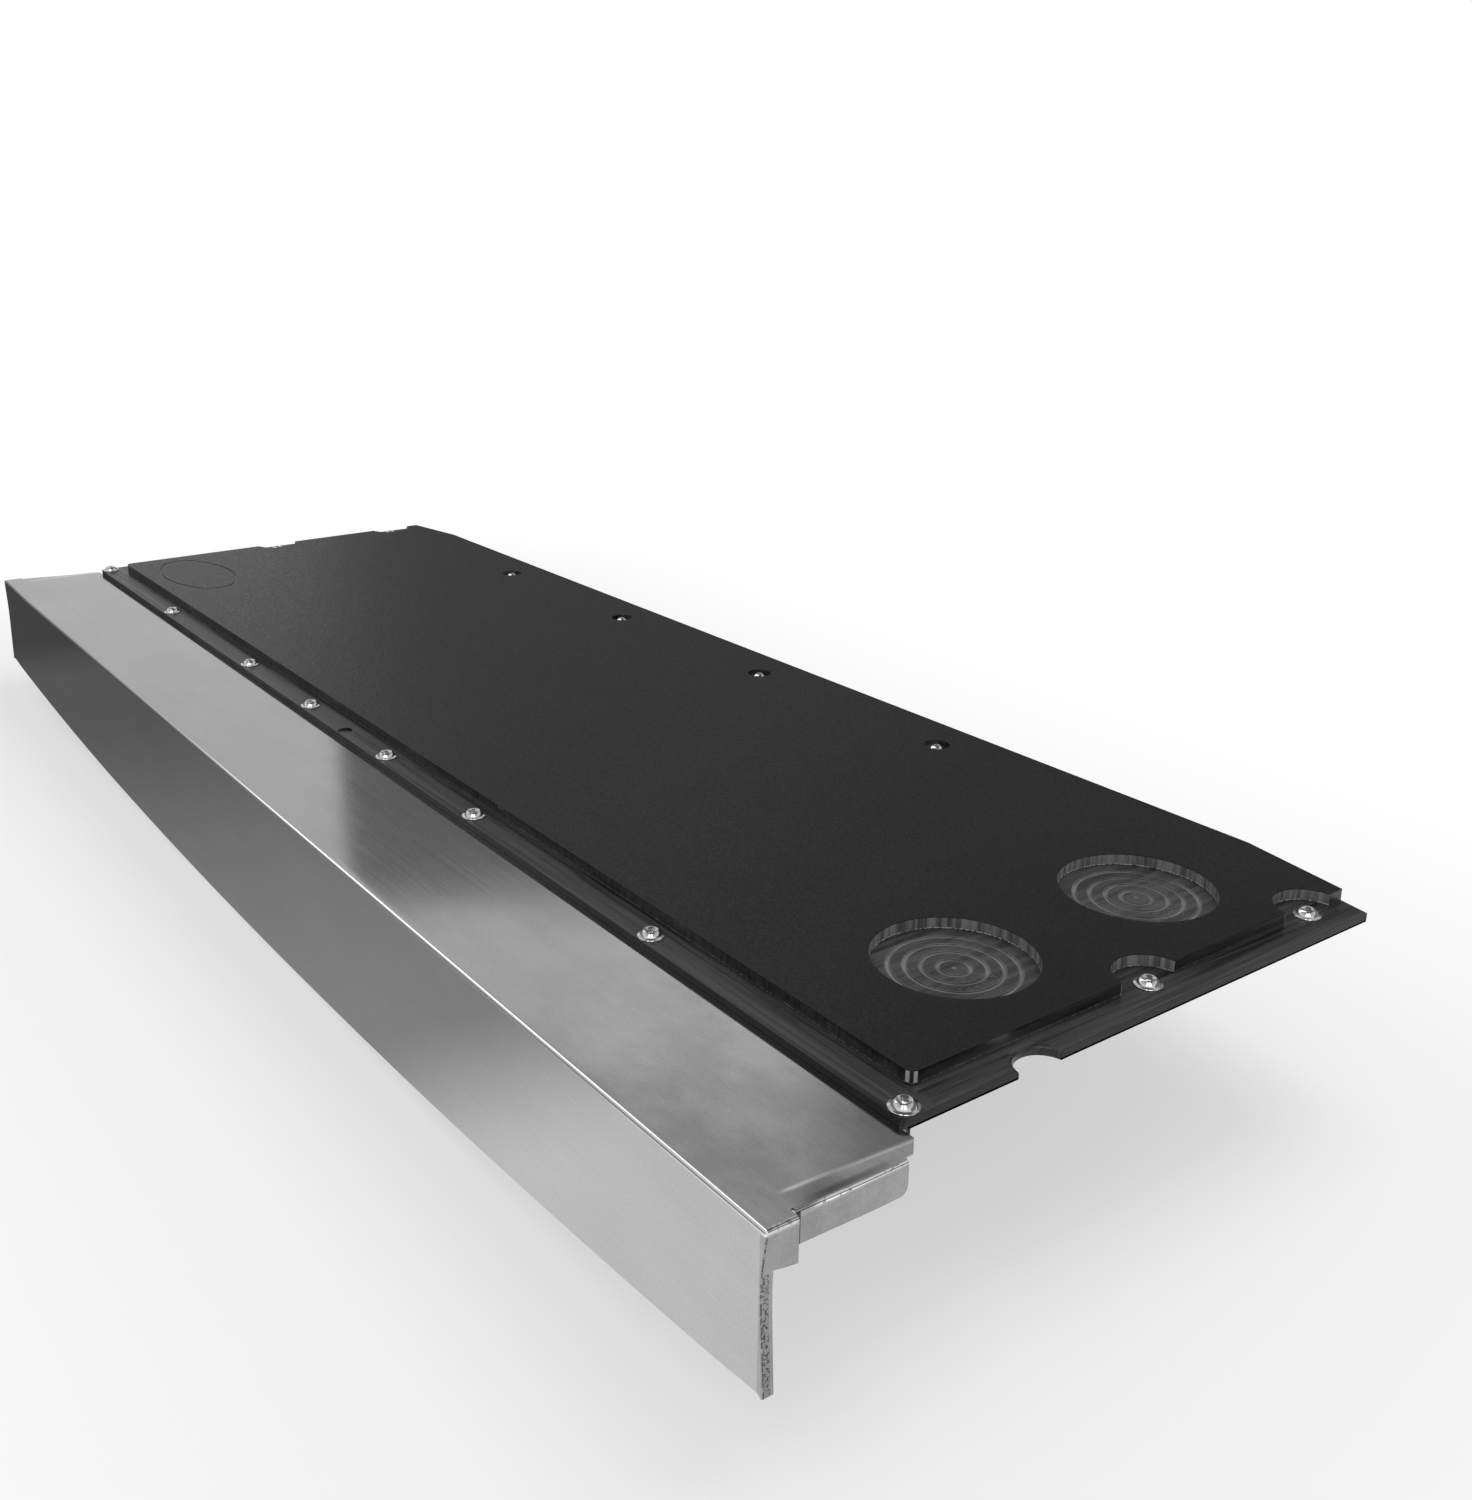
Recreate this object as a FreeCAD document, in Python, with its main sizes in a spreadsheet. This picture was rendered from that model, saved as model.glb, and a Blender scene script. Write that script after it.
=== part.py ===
import FreeCAD, Part
import math
import os
import Sketcher

# Tailgate table panel: a routed plastic board with two cup recesses, a folded sheet cap along
# its front edge, and the screws that hold both down.
# X runs along the panel, Y from the cap towards the hinge side, Z up from the board's underside.
# The origin is the middle of the board's underside.

SIZES = (
    # Board
    ("board_length", 1400.0, "board, end to end"),
    ("board_depth", 426.0, "board, front edge to hinge-side edge"),
    ("board_thickness", 14.0, "full thickness of the raised field"),
    ("step_depth", 8.0, "how far the ledge lies below the raised field"),
    ("front_ledge", 25.0, "width of the ledge along the front"),
    ("end_ledge", 21.0, "width of the ledge along each end"),
    ("taper_length", 102.0, "length of the tapered stretch of the hinge-side edge at each end"),
    ("taper_drop", 17.5, "how much the board narrows over that stretch"),
    ("ledge_corner", 5.0, "radius of the board's front corners"),
    ("field_corner", 6.0, "radius of the raised field's corners"),
    # Cup recesses
    ("cup_radius", 51.5, "cup recess"),
    ("cup_depth", 8.0, "depth of the cup recess"),
    ("cup_inset", 100.0, "cup centres from the near end"),
    ("front_cup_place", 0.3192, "first cup centre from the front edge, as a share of the depth"),
    ("rear_cup_place", 0.7136, "second cup centre, the same way"),
    ("ring_pitch", 10.0, "between the ring grooves in a cup floor"),
    ("ring_width", 2.2, "width of a ring groove"),
    ("ring_depth", 0.7, "depth of a ring groove"),
    # Oval groove
    ("oval_inset", 118.0, "oval centre from the far end"),
    ("oval_front", 79.5, "oval centre from the front edge"),
    ("oval_half_length", 77.0, "half length of the oval"),
    ("oval_half_width", 38.5, "half width of the oval"),
    ("oval_tip_radius", 24.0, "radius of the oval's narrow ends"),
    ("oval_groove", 1.8, "width of the oval groove"),
    ("oval_groove_depth", 0.8, "depth of the oval groove"),
    # Screws along the front ledge and the ends
    ("front_screw_inset", 9.3, "front screws from the front edge"),
    ("corner_screw_inset", 9.5, "corner screws from the board's ends"),
    ("inner_screw", 78.5, "innermost front screws from the middle"),
    ("middle_screw", 229.0, "next front screws from the middle"),
    ("outer_screw", 462.0, "outer front screws from the middle"),
    ("centre_recess_inset", 7.5, "shallow recess in the middle of the ledge, from the front edge"),
    ("centre_recess_radius", 6.2, "radius of that recess"),
    ("centre_recess_depth", 1.8, "depth of that recess"),
    ("end_screw_inset", 20.5, "end screws from the board's ends"),
    ("middle_end_screw_place", 0.507, "first end screw from the front edge, as a share of the depth"),
    ("rear_end_screw_edge", 52.0, "second end screw from the hinge-side edge"),
    ("scallop_radius", 24.0, "round pocket in the raised field at each end screw"),
    ("scallop_inset", 18.0, "pocket centre from the board's end"),
    ("ledge_hole_radius", 4.5, "screw hole through ledge and cap"),
    ("neck_below_board", 0.8, "how far a screw's plain neck reaches below the board"),
    # Notches in the ends
    ("notch_radius", 17.0, "notch in each end"),
    ("notch_outset", 3.0, "notch centre beyond the board's end"),
    ("notch_front", 101.0, "notch centre from the front edge"),
    ("notch_rounding", 3.5, "rounding of the notch's upper edge"),
    # Screws near the hinge side
    ("table_screw_shift", 22.0, "middle of the hinge-side screws towards the far end"),
    ("table_screw_pitch", 235.0, "between the hinge-side screws"),
    ("table_screw_edge", 40.0, "hinge-side screws from the hinge-side edge"),
    ("counterbore_radius", 10.75, "counterbore of a hinge-side screw"),
    ("counterbore_depth", 4.0, "depth of the counterbore"),
    ("table_hole_radius", 3.4, "hole under the counterbore"),
    # Flanged screws
    ("thread_tip", 0.9, "chamfer at the end of a thread"),
    ("flanged_head_radius", 8.9, "flange of an M8 flanged button head"),
    ("flange_edge", 0.9, "thickness of the flange at its rim"),
    ("flanged_dome_radius", 7.0, "dome on the flange"),
    ("flanged_head_height", 4.4, "height of the flanged head"),
    ("flanged_flat_radius", 4.6, "flat top of the dome"),
    ("flanged_mouth_radius", 4.4, "mouth of the hexagon's countersink"),
    ("flanged_mouth_drop", 2.0, "depth of that countersink at its middle"),
    ("flanged_neck_radius", 3.6, "plain neck through board and cap, as rolled threads leave it"),
    ("flanged_shank_radius", 4.0, "M8 thread, over its crests"),
    ("flanged_shank_length", 20.0, "length under the flanged head"),
    ("flanged_key", 5.0, "hexagon across flats"),
    ("flanged_key_depth", 2.6, "depth of the hexagon"),
    # Button screws
    ("button_head_radius", 5.75, "M6 button head"),
    ("button_head_height", 3.4, "height of the button head"),
    ("button_flat_radius", 2.9, "flat top of the button head"),
    ("button_mouth_radius", 2.7, "mouth of the hexagon's countersink"),
    ("button_mouth_drop", 1.3, "depth of that countersink at its middle"),
    ("button_rim", 0.5, "straight rim of the button head"),
    ("button_neck_radius", 2.7, "plain neck through the board"),
    ("button_shank_radius", 3.0, "M6 thread, over its crests"),
    ("button_shank_length", 20.0, "length under the button head"),
    ("button_key", 4.0, "hexagon across flats"),
    ("button_key_depth", 2.0, "depth of the hexagon"),
    # Edge cap
    ("sheet", 1.2, "sheet thickness"),
    ("fold_radius", 1.4, "inside radius of the folds"),
    ("cap_overhang", 23.5, "cap beyond the board at each end"),
    ("cap_top", 107.0, "visible width of the cap's top"),
    ("cap_cover", 22.0, "how far the cap's top runs under the board"),
    ("cover_end_gap", 3.0, "covered part of the cap from the board's ends"),
    ("cover_clearance", 0.5, "room round the covered part in the board's underside"),
    ("face_end_depth", 94.0, "depth of the front face at the ends"),
    ("face_middle_depth", 129.0, "depth of the front face in the middle"),
    ("lip_width", 9.5, "inward lip at the foot of the front face"),
    ("end_return", 7.0, "narrow return at each end of the front face"),
    ("corner_tab_width", 19.8, "corner tab, along Y"),
    ("corner_tab_depth", 25.0, "corner tab, down from the top"),
    ("tab_slit", 1.7, "notch between corner tab and end tab"),
    ("end_tab_width", 71.5, "end tab, along Y"),
    ("end_tab_depth", 19.0, "end tab, down from the strip beside it"),
    ("end_tab_corner", 5.0, "rounding of the end tab's rear lower corner"),
    ("end_tab_setback", 4.0, "end tab behind the corner tab's outer face"),
    ("roll_width", 12.5, "sloping strip of the top beside the end tab"),
    ("roll_drop", 1.3, "how far that strip slopes down at its rear end"),
    ("end_corner_cut", 11.5, "45 degree cut at the rear corner of that strip"),
)


class Size:
    """A length with its present value and its formula in the sheet's names."""

    def __init__(self, value, formula):
        self.value = value
        self.formula = formula

    def __add__(self, other):
        other = as_size(other)
        return Size(self.value + other.value, f"({self.formula} + {other.formula})")

    def __sub__(self, other):
        other = as_size(other)
        return Size(self.value - other.value, f"({self.formula} - {other.formula})")

    def __mul__(self, other):
        other = as_size(other)
        return Size(self.value * other.value, f"({self.formula} * {other.formula})")

    def __truediv__(self, other):
        other = as_size(other)
        return Size(self.value / other.value, f"({self.formula} / {other.formula})")

    def __neg__(self):
        return Size(-self.value, f"(-1 * {self.formula})")


def as_size(number):
    """A plain number as a Size."""
    return number if isinstance(number, Size) else Size(float(number), repr(float(number)))


def root(square):
    """The square root of a Size."""
    return Size(math.sqrt(square.value), f"sqrt({square.formula})")


doc = FreeCAD.newDocument("tailgate_table_panel")
sheet = doc.addObject("Spreadsheet::Sheet", "Sizes")
for row, (alias, number, note) in enumerate(SIZES, start=1):
    sheet.set(f"A{row}", alias)
    sheet.set(f"B{row}", str(number))
    sheet.setAlias(f"B{row}", alias)
    sheet.set(f"C{row}", note)
doc.recompute()


def size(alias):
    """The sheet's value of that name."""
    return Size(float(sheet.get(alias)), f"Sizes.{alias}")


ZERO = as_size(0)
TOP_VIEW = FreeCAD.Vector(0, 0, 1)


# Sketches, features and primitives that take their sizes from the sheet

def new_body(name):
    """An empty body whose label names its file."""
    body = doc.addObject("PartDesign::Body", name)
    body.Label = name
    return body


def new_sketch(body, name, role, offset=ZERO):
    """A sketch on one of the body's own origin planes, moved along that plane's normal."""
    sketch = body.newObject("Sketcher::SketchObject", name)
    plane = next(item for item in body.Origin.OriginFeatures if item.Role == role)
    sketch.AttachmentSupport = [(plane, "")]
    sketch.MapMode = "FlatFace"
    sketch.setExpression("AttachmentOffset.Base.z", offset.formula)
    return sketch


def pin(sketch, geometry, position, x, y):
    """Hold one point of the sketch at (x, y)."""
    for kind, axis, value in (("DistanceX", -2, x), ("DistanceY", -1, y)):
        if value is ZERO:
            sketch.addConstraint(Sketcher.Constraint("PointOnObject", geometry, position, axis))
            continue
        index = sketch.addConstraint(
            Sketcher.Constraint(kind, -1, 1, geometry, position, value.value))
        sketch.setExpression(f"Constraints[{index}]", value.formula)


def arc_between(start, end, radius, clockwise):
    """The short arc of that radius from start to end, as anticlockwise geometry."""
    if clockwise:
        start, end = end, start
    chord = end - start
    rise = math.sqrt(max(radius * radius - chord.Length * chord.Length / 4, 0.0))
    across = FreeCAD.Vector(-chord.y, chord.x, 0).normalize()
    centre = (start + end) * 0.5 + across * rise
    first = math.atan2(start.y - centre.y, start.x - centre.x)
    last = math.atan2(end.y - centre.y, end.x - centre.x)
    if last < first:
        last += 2 * math.pi
    return Part.ArcOfCircle(Part.Circle(centre, TOP_VIEW, radius), first, last)


def draw_outline(sketch, corners):
    """A closed outline. Each corner is (x, y) or, where an arc leads on from it,
    (x, y, radius, clockwise)."""
    points = [FreeCAD.Vector(corner[0].value, corner[1].value, 0) for corner in corners]
    ends = []
    for number, corner in enumerate(corners):
        start, end = points[number], points[(number + 1) % len(points)]
        if len(corner) == 2:
            index = sketch.addGeometry(Part.LineSegment(start, end))
            ends.append((index, 1, 2))
            continue
        radius, clockwise = corner[2], corner[3]
        index = sketch.addGeometry(arc_between(start, end, radius.value, clockwise))
        ends.append((index, 2, 1) if clockwise else (index, 1, 2))
    for number, corner in enumerate(corners):
        index, first, last = ends[number]
        following = ends[(number + 1) % len(ends)]
        sketch.addConstraint(
            Sketcher.Constraint("Coincident", index, last, following[0], following[1]))
        pin(sketch, index, first, corner[0], corner[1])
        if len(corner) > 2:
            bound = sketch.addConstraint(Sketcher.Constraint("Radius", index, corner[2].value))
            sketch.setExpression(f"Constraints[{bound}]", corner[2].formula)


def draw_circle(sketch, x, y, radius):
    """A circle with its centre and radius held."""
    centre = FreeCAD.Vector(x.value, y.value, 0)
    index = sketch.addGeometry(Part.Circle(centre, TOP_VIEW, radius.value))
    pin(sketch, index, 3, x, y)
    bound = sketch.addConstraint(Sketcher.Constraint("Radius", index, radius.value))
    sketch.setExpression(f"Constraints[{bound}]", radius.formula)


def pad(body, sketch, length, name):
    """Raise the sketch by that length."""
    feature = body.newObject("PartDesign::Pad", name)
    feature.Profile = sketch
    feature.setExpression("Length", length.formula)
    finish_feature(body, feature)


def pocket(body, sketch, depth, name, upwards=False):
    """Cut the sketch that deep, down into the material unless upwards is asked for."""
    before = body.Shape.Volume
    feature = body.newObject("PartDesign::Pocket", name)
    feature.Profile = sketch
    feature.Reversed = upwards
    feature.setExpression("Length", depth.formula)
    finish_feature(body, feature)
    if body.Shape.Volume >= before:
        raise RuntimeError(f"{name} cuts nothing")


def fillet(body, radius, name, wanted):
    """Round the edges of the body's shape for which wanted(edge) is true."""
    base = body.Tip
    edges = [f"Edge{number}" for number, edge in enumerate(base.Shape.Edges, start=1) if wanted(edge)]
    if not edges:
        raise RuntimeError(f"{name} finds no edge")
    feature = body.newObject("PartDesign::Fillet", name)
    feature.Base = (base, edges)
    feature.setExpression("Radius", radius.formula)
    finish_feature(body, feature)


def finish_feature(body, feature):
    """Make the feature the body's last one and work it out."""
    body.Tip = feature
    doc.recompute()


def new_box(name, x_range, y_range, z_range):
    """A block between the given limits."""
    block = doc.addObject("Part::Box", name)
    for prop, axis, (low, high) in (
            ("Length", "x", x_range), ("Width", "y", y_range), ("Height", "z", z_range)):
        block.setExpression(prop, (high - low).formula)
        block.setExpression(f"Placement.Base.{axis}", low.formula)
    return block


def new_drum(name, radius, y_range, height):
    """A cylinder along Y whose axis crosses the middle plane at that height."""
    drum = doc.addObject("Part::Cylinder", name)
    drum.Placement.Rotation = FreeCAD.Rotation(FreeCAD.Vector(1, 0, 0), -90)
    drum.setExpression("Radius", radius.formula)
    drum.setExpression("Height", (y_range[1] - y_range[0]).formula)
    drum.setExpression("Placement.Base.y", y_range[0].formula)
    drum.setExpression("Placement.Base.z", height.formula)
    return drum


def new_pin(name, radius, x, y, z_range):
    """An upright cylinder at (x, y)."""
    pin_tool = doc.addObject("Part::Cylinder", name)
    pin_tool.setExpression("Radius", radius.formula)
    pin_tool.setExpression("Height", (z_range[1] - z_range[0]).formula)
    pin_tool.setExpression("Placement.Base.x", x.formula)
    pin_tool.setExpression("Placement.Base.y", y.formula)
    pin_tool.setExpression("Placement.Base.z", z_range[0].formula)
    return pin_tool


def joined(kind, name, shapes):
    """Several shapes fused (Part::MultiFuse) or their common part (Part::MultiCommon)."""
    result = doc.addObject(kind, name)
    result.Shapes = shapes
    doc.recompute()
    return result


def cut(name, base, tool):
    """Base less tool."""
    result = doc.addObject("Part::Cut", name)
    result.Base = base
    result.Tool = tool
    doc.recompute()
    return result


def rounded(name, base, radius, wanted):
    """Base with the edges for which wanted(edge) is true rounded."""
    result = doc.addObject("Part::Fillet", name)
    result.Base = base
    result.Edges = [
        (number, radius.value, radius.value)
        for number, edge in enumerate(base.Shape.Edges, start=1) if wanted(edge)]
    doc.recompute()
    return result


def near(value, target):
    """Whether two lengths agree to a hundredth of a millimetre."""
    return abs(value - target.value) < 0.01


def is_upright(edge):
    """Whether an edge is a straight line along Z."""
    if not isinstance(edge.Curve, Part.Line):
        return False
    direction = edge.Curve.Direction
    return abs(abs(direction.z) - 1) < 1e-6


# Places that several pieces share

HALF_LENGTH = size("board_length") / 2
FRONT = -(size("board_depth") / 2)
HINGE_SIDE = size("board_depth") / 2
THICKNESS = size("board_thickness")
LEDGE_TOP = THICKNESS - size("step_depth")
FIELD_END = HALF_LENGTH - size("end_ledge")
FIELD_FRONT = FRONT + size("front_ledge")
TAPER_START = HALF_LENGTH - size("taper_length")
TAPER_END_Y = HINGE_SIDE - size("taper_drop")
FIELD_TAPER_END_Y = HINGE_SIDE - size("taper_drop") * (FIELD_END - TAPER_START) / size("taper_length")

FRONT_SCREW_Y = FRONT + size("front_screw_inset")
FRONT_SCREW_XS = [HALF_LENGTH - size("corner_screw_inset"), size("outer_screw"),
                  size("middle_screw"), size("inner_screw")]
FRONT_SCREW_PLACES = [(-x, FRONT_SCREW_Y) for x in FRONT_SCREW_XS]
FRONT_SCREW_PLACES += [(x, FRONT_SCREW_Y) for x in reversed(FRONT_SCREW_XS)]
END_SCREW_X = HALF_LENGTH - size("end_screw_inset")
END_SCREW_YS = [FRONT + size("board_depth") * size("middle_end_screw_place"),
                HINGE_SIDE - size("rear_end_screw_edge")]
END_SCREW_PLACES = [(x, y) for x in (-END_SCREW_X, END_SCREW_X) for y in END_SCREW_YS]
TABLE_SCREW_COUNT = 4
TABLE_SCREW_Y = HINGE_SIDE - size("table_screw_edge")
TABLE_SCREW_PLACES = [
    (size("table_screw_pitch") * (number - (TABLE_SCREW_COUNT - 1) / 2) - size("table_screw_shift"),
     TABLE_SCREW_Y)
    for number in range(TABLE_SCREW_COUNT)]
COUNTERBORE_FLOOR = THICKNESS - size("counterbore_depth")

CUP_X = HALF_LENGTH - size("cup_inset")
CUP_YS = [FRONT + size("board_depth") * size("front_cup_place"),
          FRONT + size("board_depth") * size("rear_cup_place")]
CUP_FLOOR = THICKNESS - size("cup_depth")
RING_COUNT = 4

CAP_BACK = FRONT + size("cap_cover")
CAP_FRONT = FRONT - size("cap_top")
CAP_HALF = HALF_LENGTH + size("cap_overhang")
CAP_TOP_Z = size("sheet")
COVER_HALF = HALF_LENGTH - size("cover_end_gap")


# Board

def draw_board_outline(sketch, end_x, front_y, taper_end_y):
    """Straight front and ends, and a hinge-side edge that narrows towards both ends."""
    draw_outline(sketch, [
        (-end_x, front_y), (end_x, front_y), (end_x, taper_end_y),
        (TAPER_START, HINGE_SIDE), (-TAPER_START, HINGE_SIDE), (-end_x, taper_end_y)])


def draw_oval(sketch, inset):
    """An oval of four tangent arcs, drawn that far inside the full oval."""
    long_half = size("oval_half_length")
    short_half = size("oval_half_width")
    tip = size("oval_tip_radius")
    side = ((long_half * long_half + short_half * short_half - long_half * tip * 2)
            / ((short_half - tip) * 2))
    tip_centre = long_half - tip
    side_centre = side - short_half
    span = side - tip
    joint_x = tip_centre * (side - inset) / span
    joint_y = side_centre * (side - inset) / span - side_centre
    x = size("oval_inset") - HALF_LENGTH
    y = FRONT + size("oval_front")
    draw_outline(sketch, [
        (x + joint_x, y + joint_y, side - inset, False),
        (x - joint_x, y + joint_y, tip - inset, False),
        (x - joint_x, y - joint_y, side - inset, False),
        (x + joint_x, y - joint_y, tip - inset, False)])


def build_board():
    """The routed board: ledge, raised field, pockets, holes and notches."""
    body = new_body("board")

    plate = new_sketch(body, "plate_outline", "XY_Plane")
    draw_board_outline(plate, HALF_LENGTH, FRONT, TAPER_END_Y)
    pad(body, plate, LEDGE_TOP, "plate")
    fillet(body, size("ledge_corner"), "plate_corners",
           lambda edge: is_upright(edge) and near(edge.Vertexes[0].Y, FRONT))

    field = new_sketch(body, "field_outline", "XY_Plane")
    draw_board_outline(field, FIELD_END, FIELD_FRONT, FIELD_TAPER_END_Y)
    pad(body, field, THICKNESS, "raised_field")
    fillet(body, size("field_corner"), "field_corners",
           lambda edge: is_upright(edge) and near(edge.Vertexes[0].Y, FIELD_FRONT)
           and near(abs(edge.Vertexes[0].X), FIELD_END))

    scallops = new_sketch(body, "scallop_circles", "XY_Plane", THICKNESS)
    for x in (size("scallop_inset") - HALF_LENGTH, HALF_LENGTH - size("scallop_inset")):
        for y in END_SCREW_YS:
            draw_circle(scallops, x, y, size("scallop_radius"))
    pocket(body, scallops, size("step_depth"), "scallops")

    cups = new_sketch(body, "cup_circles", "XY_Plane", THICKNESS)
    for y in CUP_YS:
        draw_circle(cups, CUP_X, y, size("cup_radius"))
    pocket(body, cups, size("cup_depth"), "cups")

    rings = new_sketch(body, "ring_circles", "XY_Plane", CUP_FLOOR)
    for y in CUP_YS:
        for number in range(1, RING_COUNT + 1):
            middle = size("ring_pitch") * number
            draw_circle(rings, CUP_X, y, middle + size("ring_width") / 2)
            draw_circle(rings, CUP_X, y, middle - size("ring_width") / 2)
    pocket(body, rings, size("ring_depth"), "ring_grooves")

    counterbores = new_sketch(body, "counterbore_circles", "XY_Plane", THICKNESS)
    for x, y in TABLE_SCREW_PLACES:
        draw_circle(counterbores, x, y, size("counterbore_radius"))
    pocket(body, counterbores, size("counterbore_depth"), "counterbores")

    holes = new_sketch(body, "hole_circles", "XY_Plane", THICKNESS)
    for x, y in FRONT_SCREW_PLACES + END_SCREW_PLACES:
        draw_circle(holes, x, y, size("ledge_hole_radius"))
    for x, y in TABLE_SCREW_PLACES:
        draw_circle(holes, x, y, size("table_hole_radius"))
    pocket(body, holes, THICKNESS, "holes")

    recess = new_sketch(body, "centre_recess_circle", "XY_Plane", LEDGE_TOP)
    recess_y = FRONT + size("centre_recess_inset")
    draw_circle(recess, ZERO, recess_y, size("centre_recess_radius"))
    pocket(body, recess, size("centre_recess_depth"), "centre_recess")

    notches = new_sketch(body, "notch_circles", "XY_Plane", THICKNESS)
    notch_x = HALF_LENGTH + size("notch_outset")
    notch_y = FRONT + size("notch_front")
    for x in (-notch_x, notch_x):
        draw_circle(notches, x, notch_y, size("notch_radius"))
    pocket(body, notches, THICKNESS, "end_notches")
    fillet(body, size("notch_rounding"), "notch_edges",
           lambda edge: isinstance(edge.Curve, Part.Circle)
           and near(edge.Curve.Radius, size("notch_radius"))
           and near(edge.Vertexes[0].Z, LEDGE_TOP) and near(edge.Vertexes[-1].Z, LEDGE_TOP))

    relief = new_sketch(body, "cap_relief_outline", "XY_Plane")
    relief_x = COVER_HALF + size("cover_clearance")
    relief_y = CAP_BACK + size("cover_clearance")
    outside = FRONT - size("cover_clearance")
    draw_outline(relief, [(-relief_x, outside), (relief_x, outside),
                          (relief_x, relief_y), (-relief_x, relief_y)])
    pocket(body, relief, CAP_TOP_Z, "cap_relief", upwards=True)

    oval = new_sketch(body, "oval_groove_outline", "XY_Plane", THICKNESS)
    draw_oval(oval, ZERO)
    draw_oval(oval, size("oval_groove"))
    pocket(body, oval, size("oval_groove_depth"), "oval_groove")
    return body


# Screws

def draw_hexagon(sketch, across_flats):
    """A hexagon about the sketch's origin with two sides along X."""
    half = across_flats / 2
    corner = across_flats / root(as_size(3))
    draw_outline(sketch, [
        (corner, ZERO), (corner / 2, half), (-(corner / 2), half),
        (-corner, ZERO), (-(corner / 2), -half), (corner / 2, -half)])


def build_screw(name, place, seat, prefix, profile):
    """A screw turned from its half profile, with a hexagon socket, standing on its seat."""
    body = new_body(name)
    turned = new_sketch(body, f"{name}_profile", "XZ_Plane")
    draw_outline(turned, profile)
    feature = body.newObject("PartDesign::Revolution", f"{name}_turned")
    feature.Profile = turned
    feature.ReferenceAxis = (turned, ["V_Axis"])
    feature.Angle = 360
    finish_feature(body, feature)
    head_height = size(f"{prefix}_head_height")
    socket = new_sketch(body, f"{name}_hexagon", "XY_Plane", head_height)
    draw_hexagon(socket, size(f"{prefix}_key"))
    pocket(body, socket, size(f"{prefix}_key_depth"), f"{name}_socket")
    body.setExpression("Placement.Base.x", place[0].formula)
    body.setExpression("Placement.Base.y", place[1].formula)
    body.setExpression("Placement.Base.z", seat.formula)
    return body


def screw_profile(prefix, seat, rim_corners):
    """Half profile of a screw, its seat at height zero: threaded end, plain neck, rim,
    round dome, flat top and the countersunk mouth of its socket."""
    tip = size("thread_tip")
    thread = size(f"{prefix}_shank_radius")
    neck = size(f"{prefix}_neck_radius")
    length = size(f"{prefix}_shank_length")
    flat = size(f"{prefix}_flat_radius")
    height = size(f"{prefix}_head_height")
    neck_end = -(seat + size("neck_below_board"))
    foot_radius, foot_height = rim_corners[-1]
    centre = ((height * height + flat * flat - foot_height * foot_height
               - foot_radius * foot_radius) / ((height - foot_height) * 2))
    dome = root(foot_radius * foot_radius + (foot_height - centre) * (foot_height - centre))
    return [
        (ZERO, -length), (thread - tip, -length), (thread, tip - length),
        (thread, neck_end - (thread - neck)), (neck, neck_end), (neck, ZERO),
        *rim_corners[:-1], (foot_radius, foot_height, dome, False), (flat, height),
        (size(f"{prefix}_mouth_radius"), height),
        (ZERO, height - size(f"{prefix}_mouth_drop"))]


def flanged_profile():
    """Profile of a flanged button screw: a thin flange that rises to the foot of the dome."""
    flange = size("flanged_head_radius")
    rim = size("flange_edge")
    dome = size("flanged_dome_radius")
    return screw_profile("flanged", LEDGE_TOP, [
        (flange, ZERO), (flange, rim), (dome, rim + (flange - dome) / 4)])


def button_profile():
    """Profile of a button screw: a short straight rim under the dome."""
    head = size("button_head_radius")
    return screw_profile("button", COUNTERBORE_FLOOR, [(head, ZERO), (head, size("button_rim"))])


# Edge cap

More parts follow.
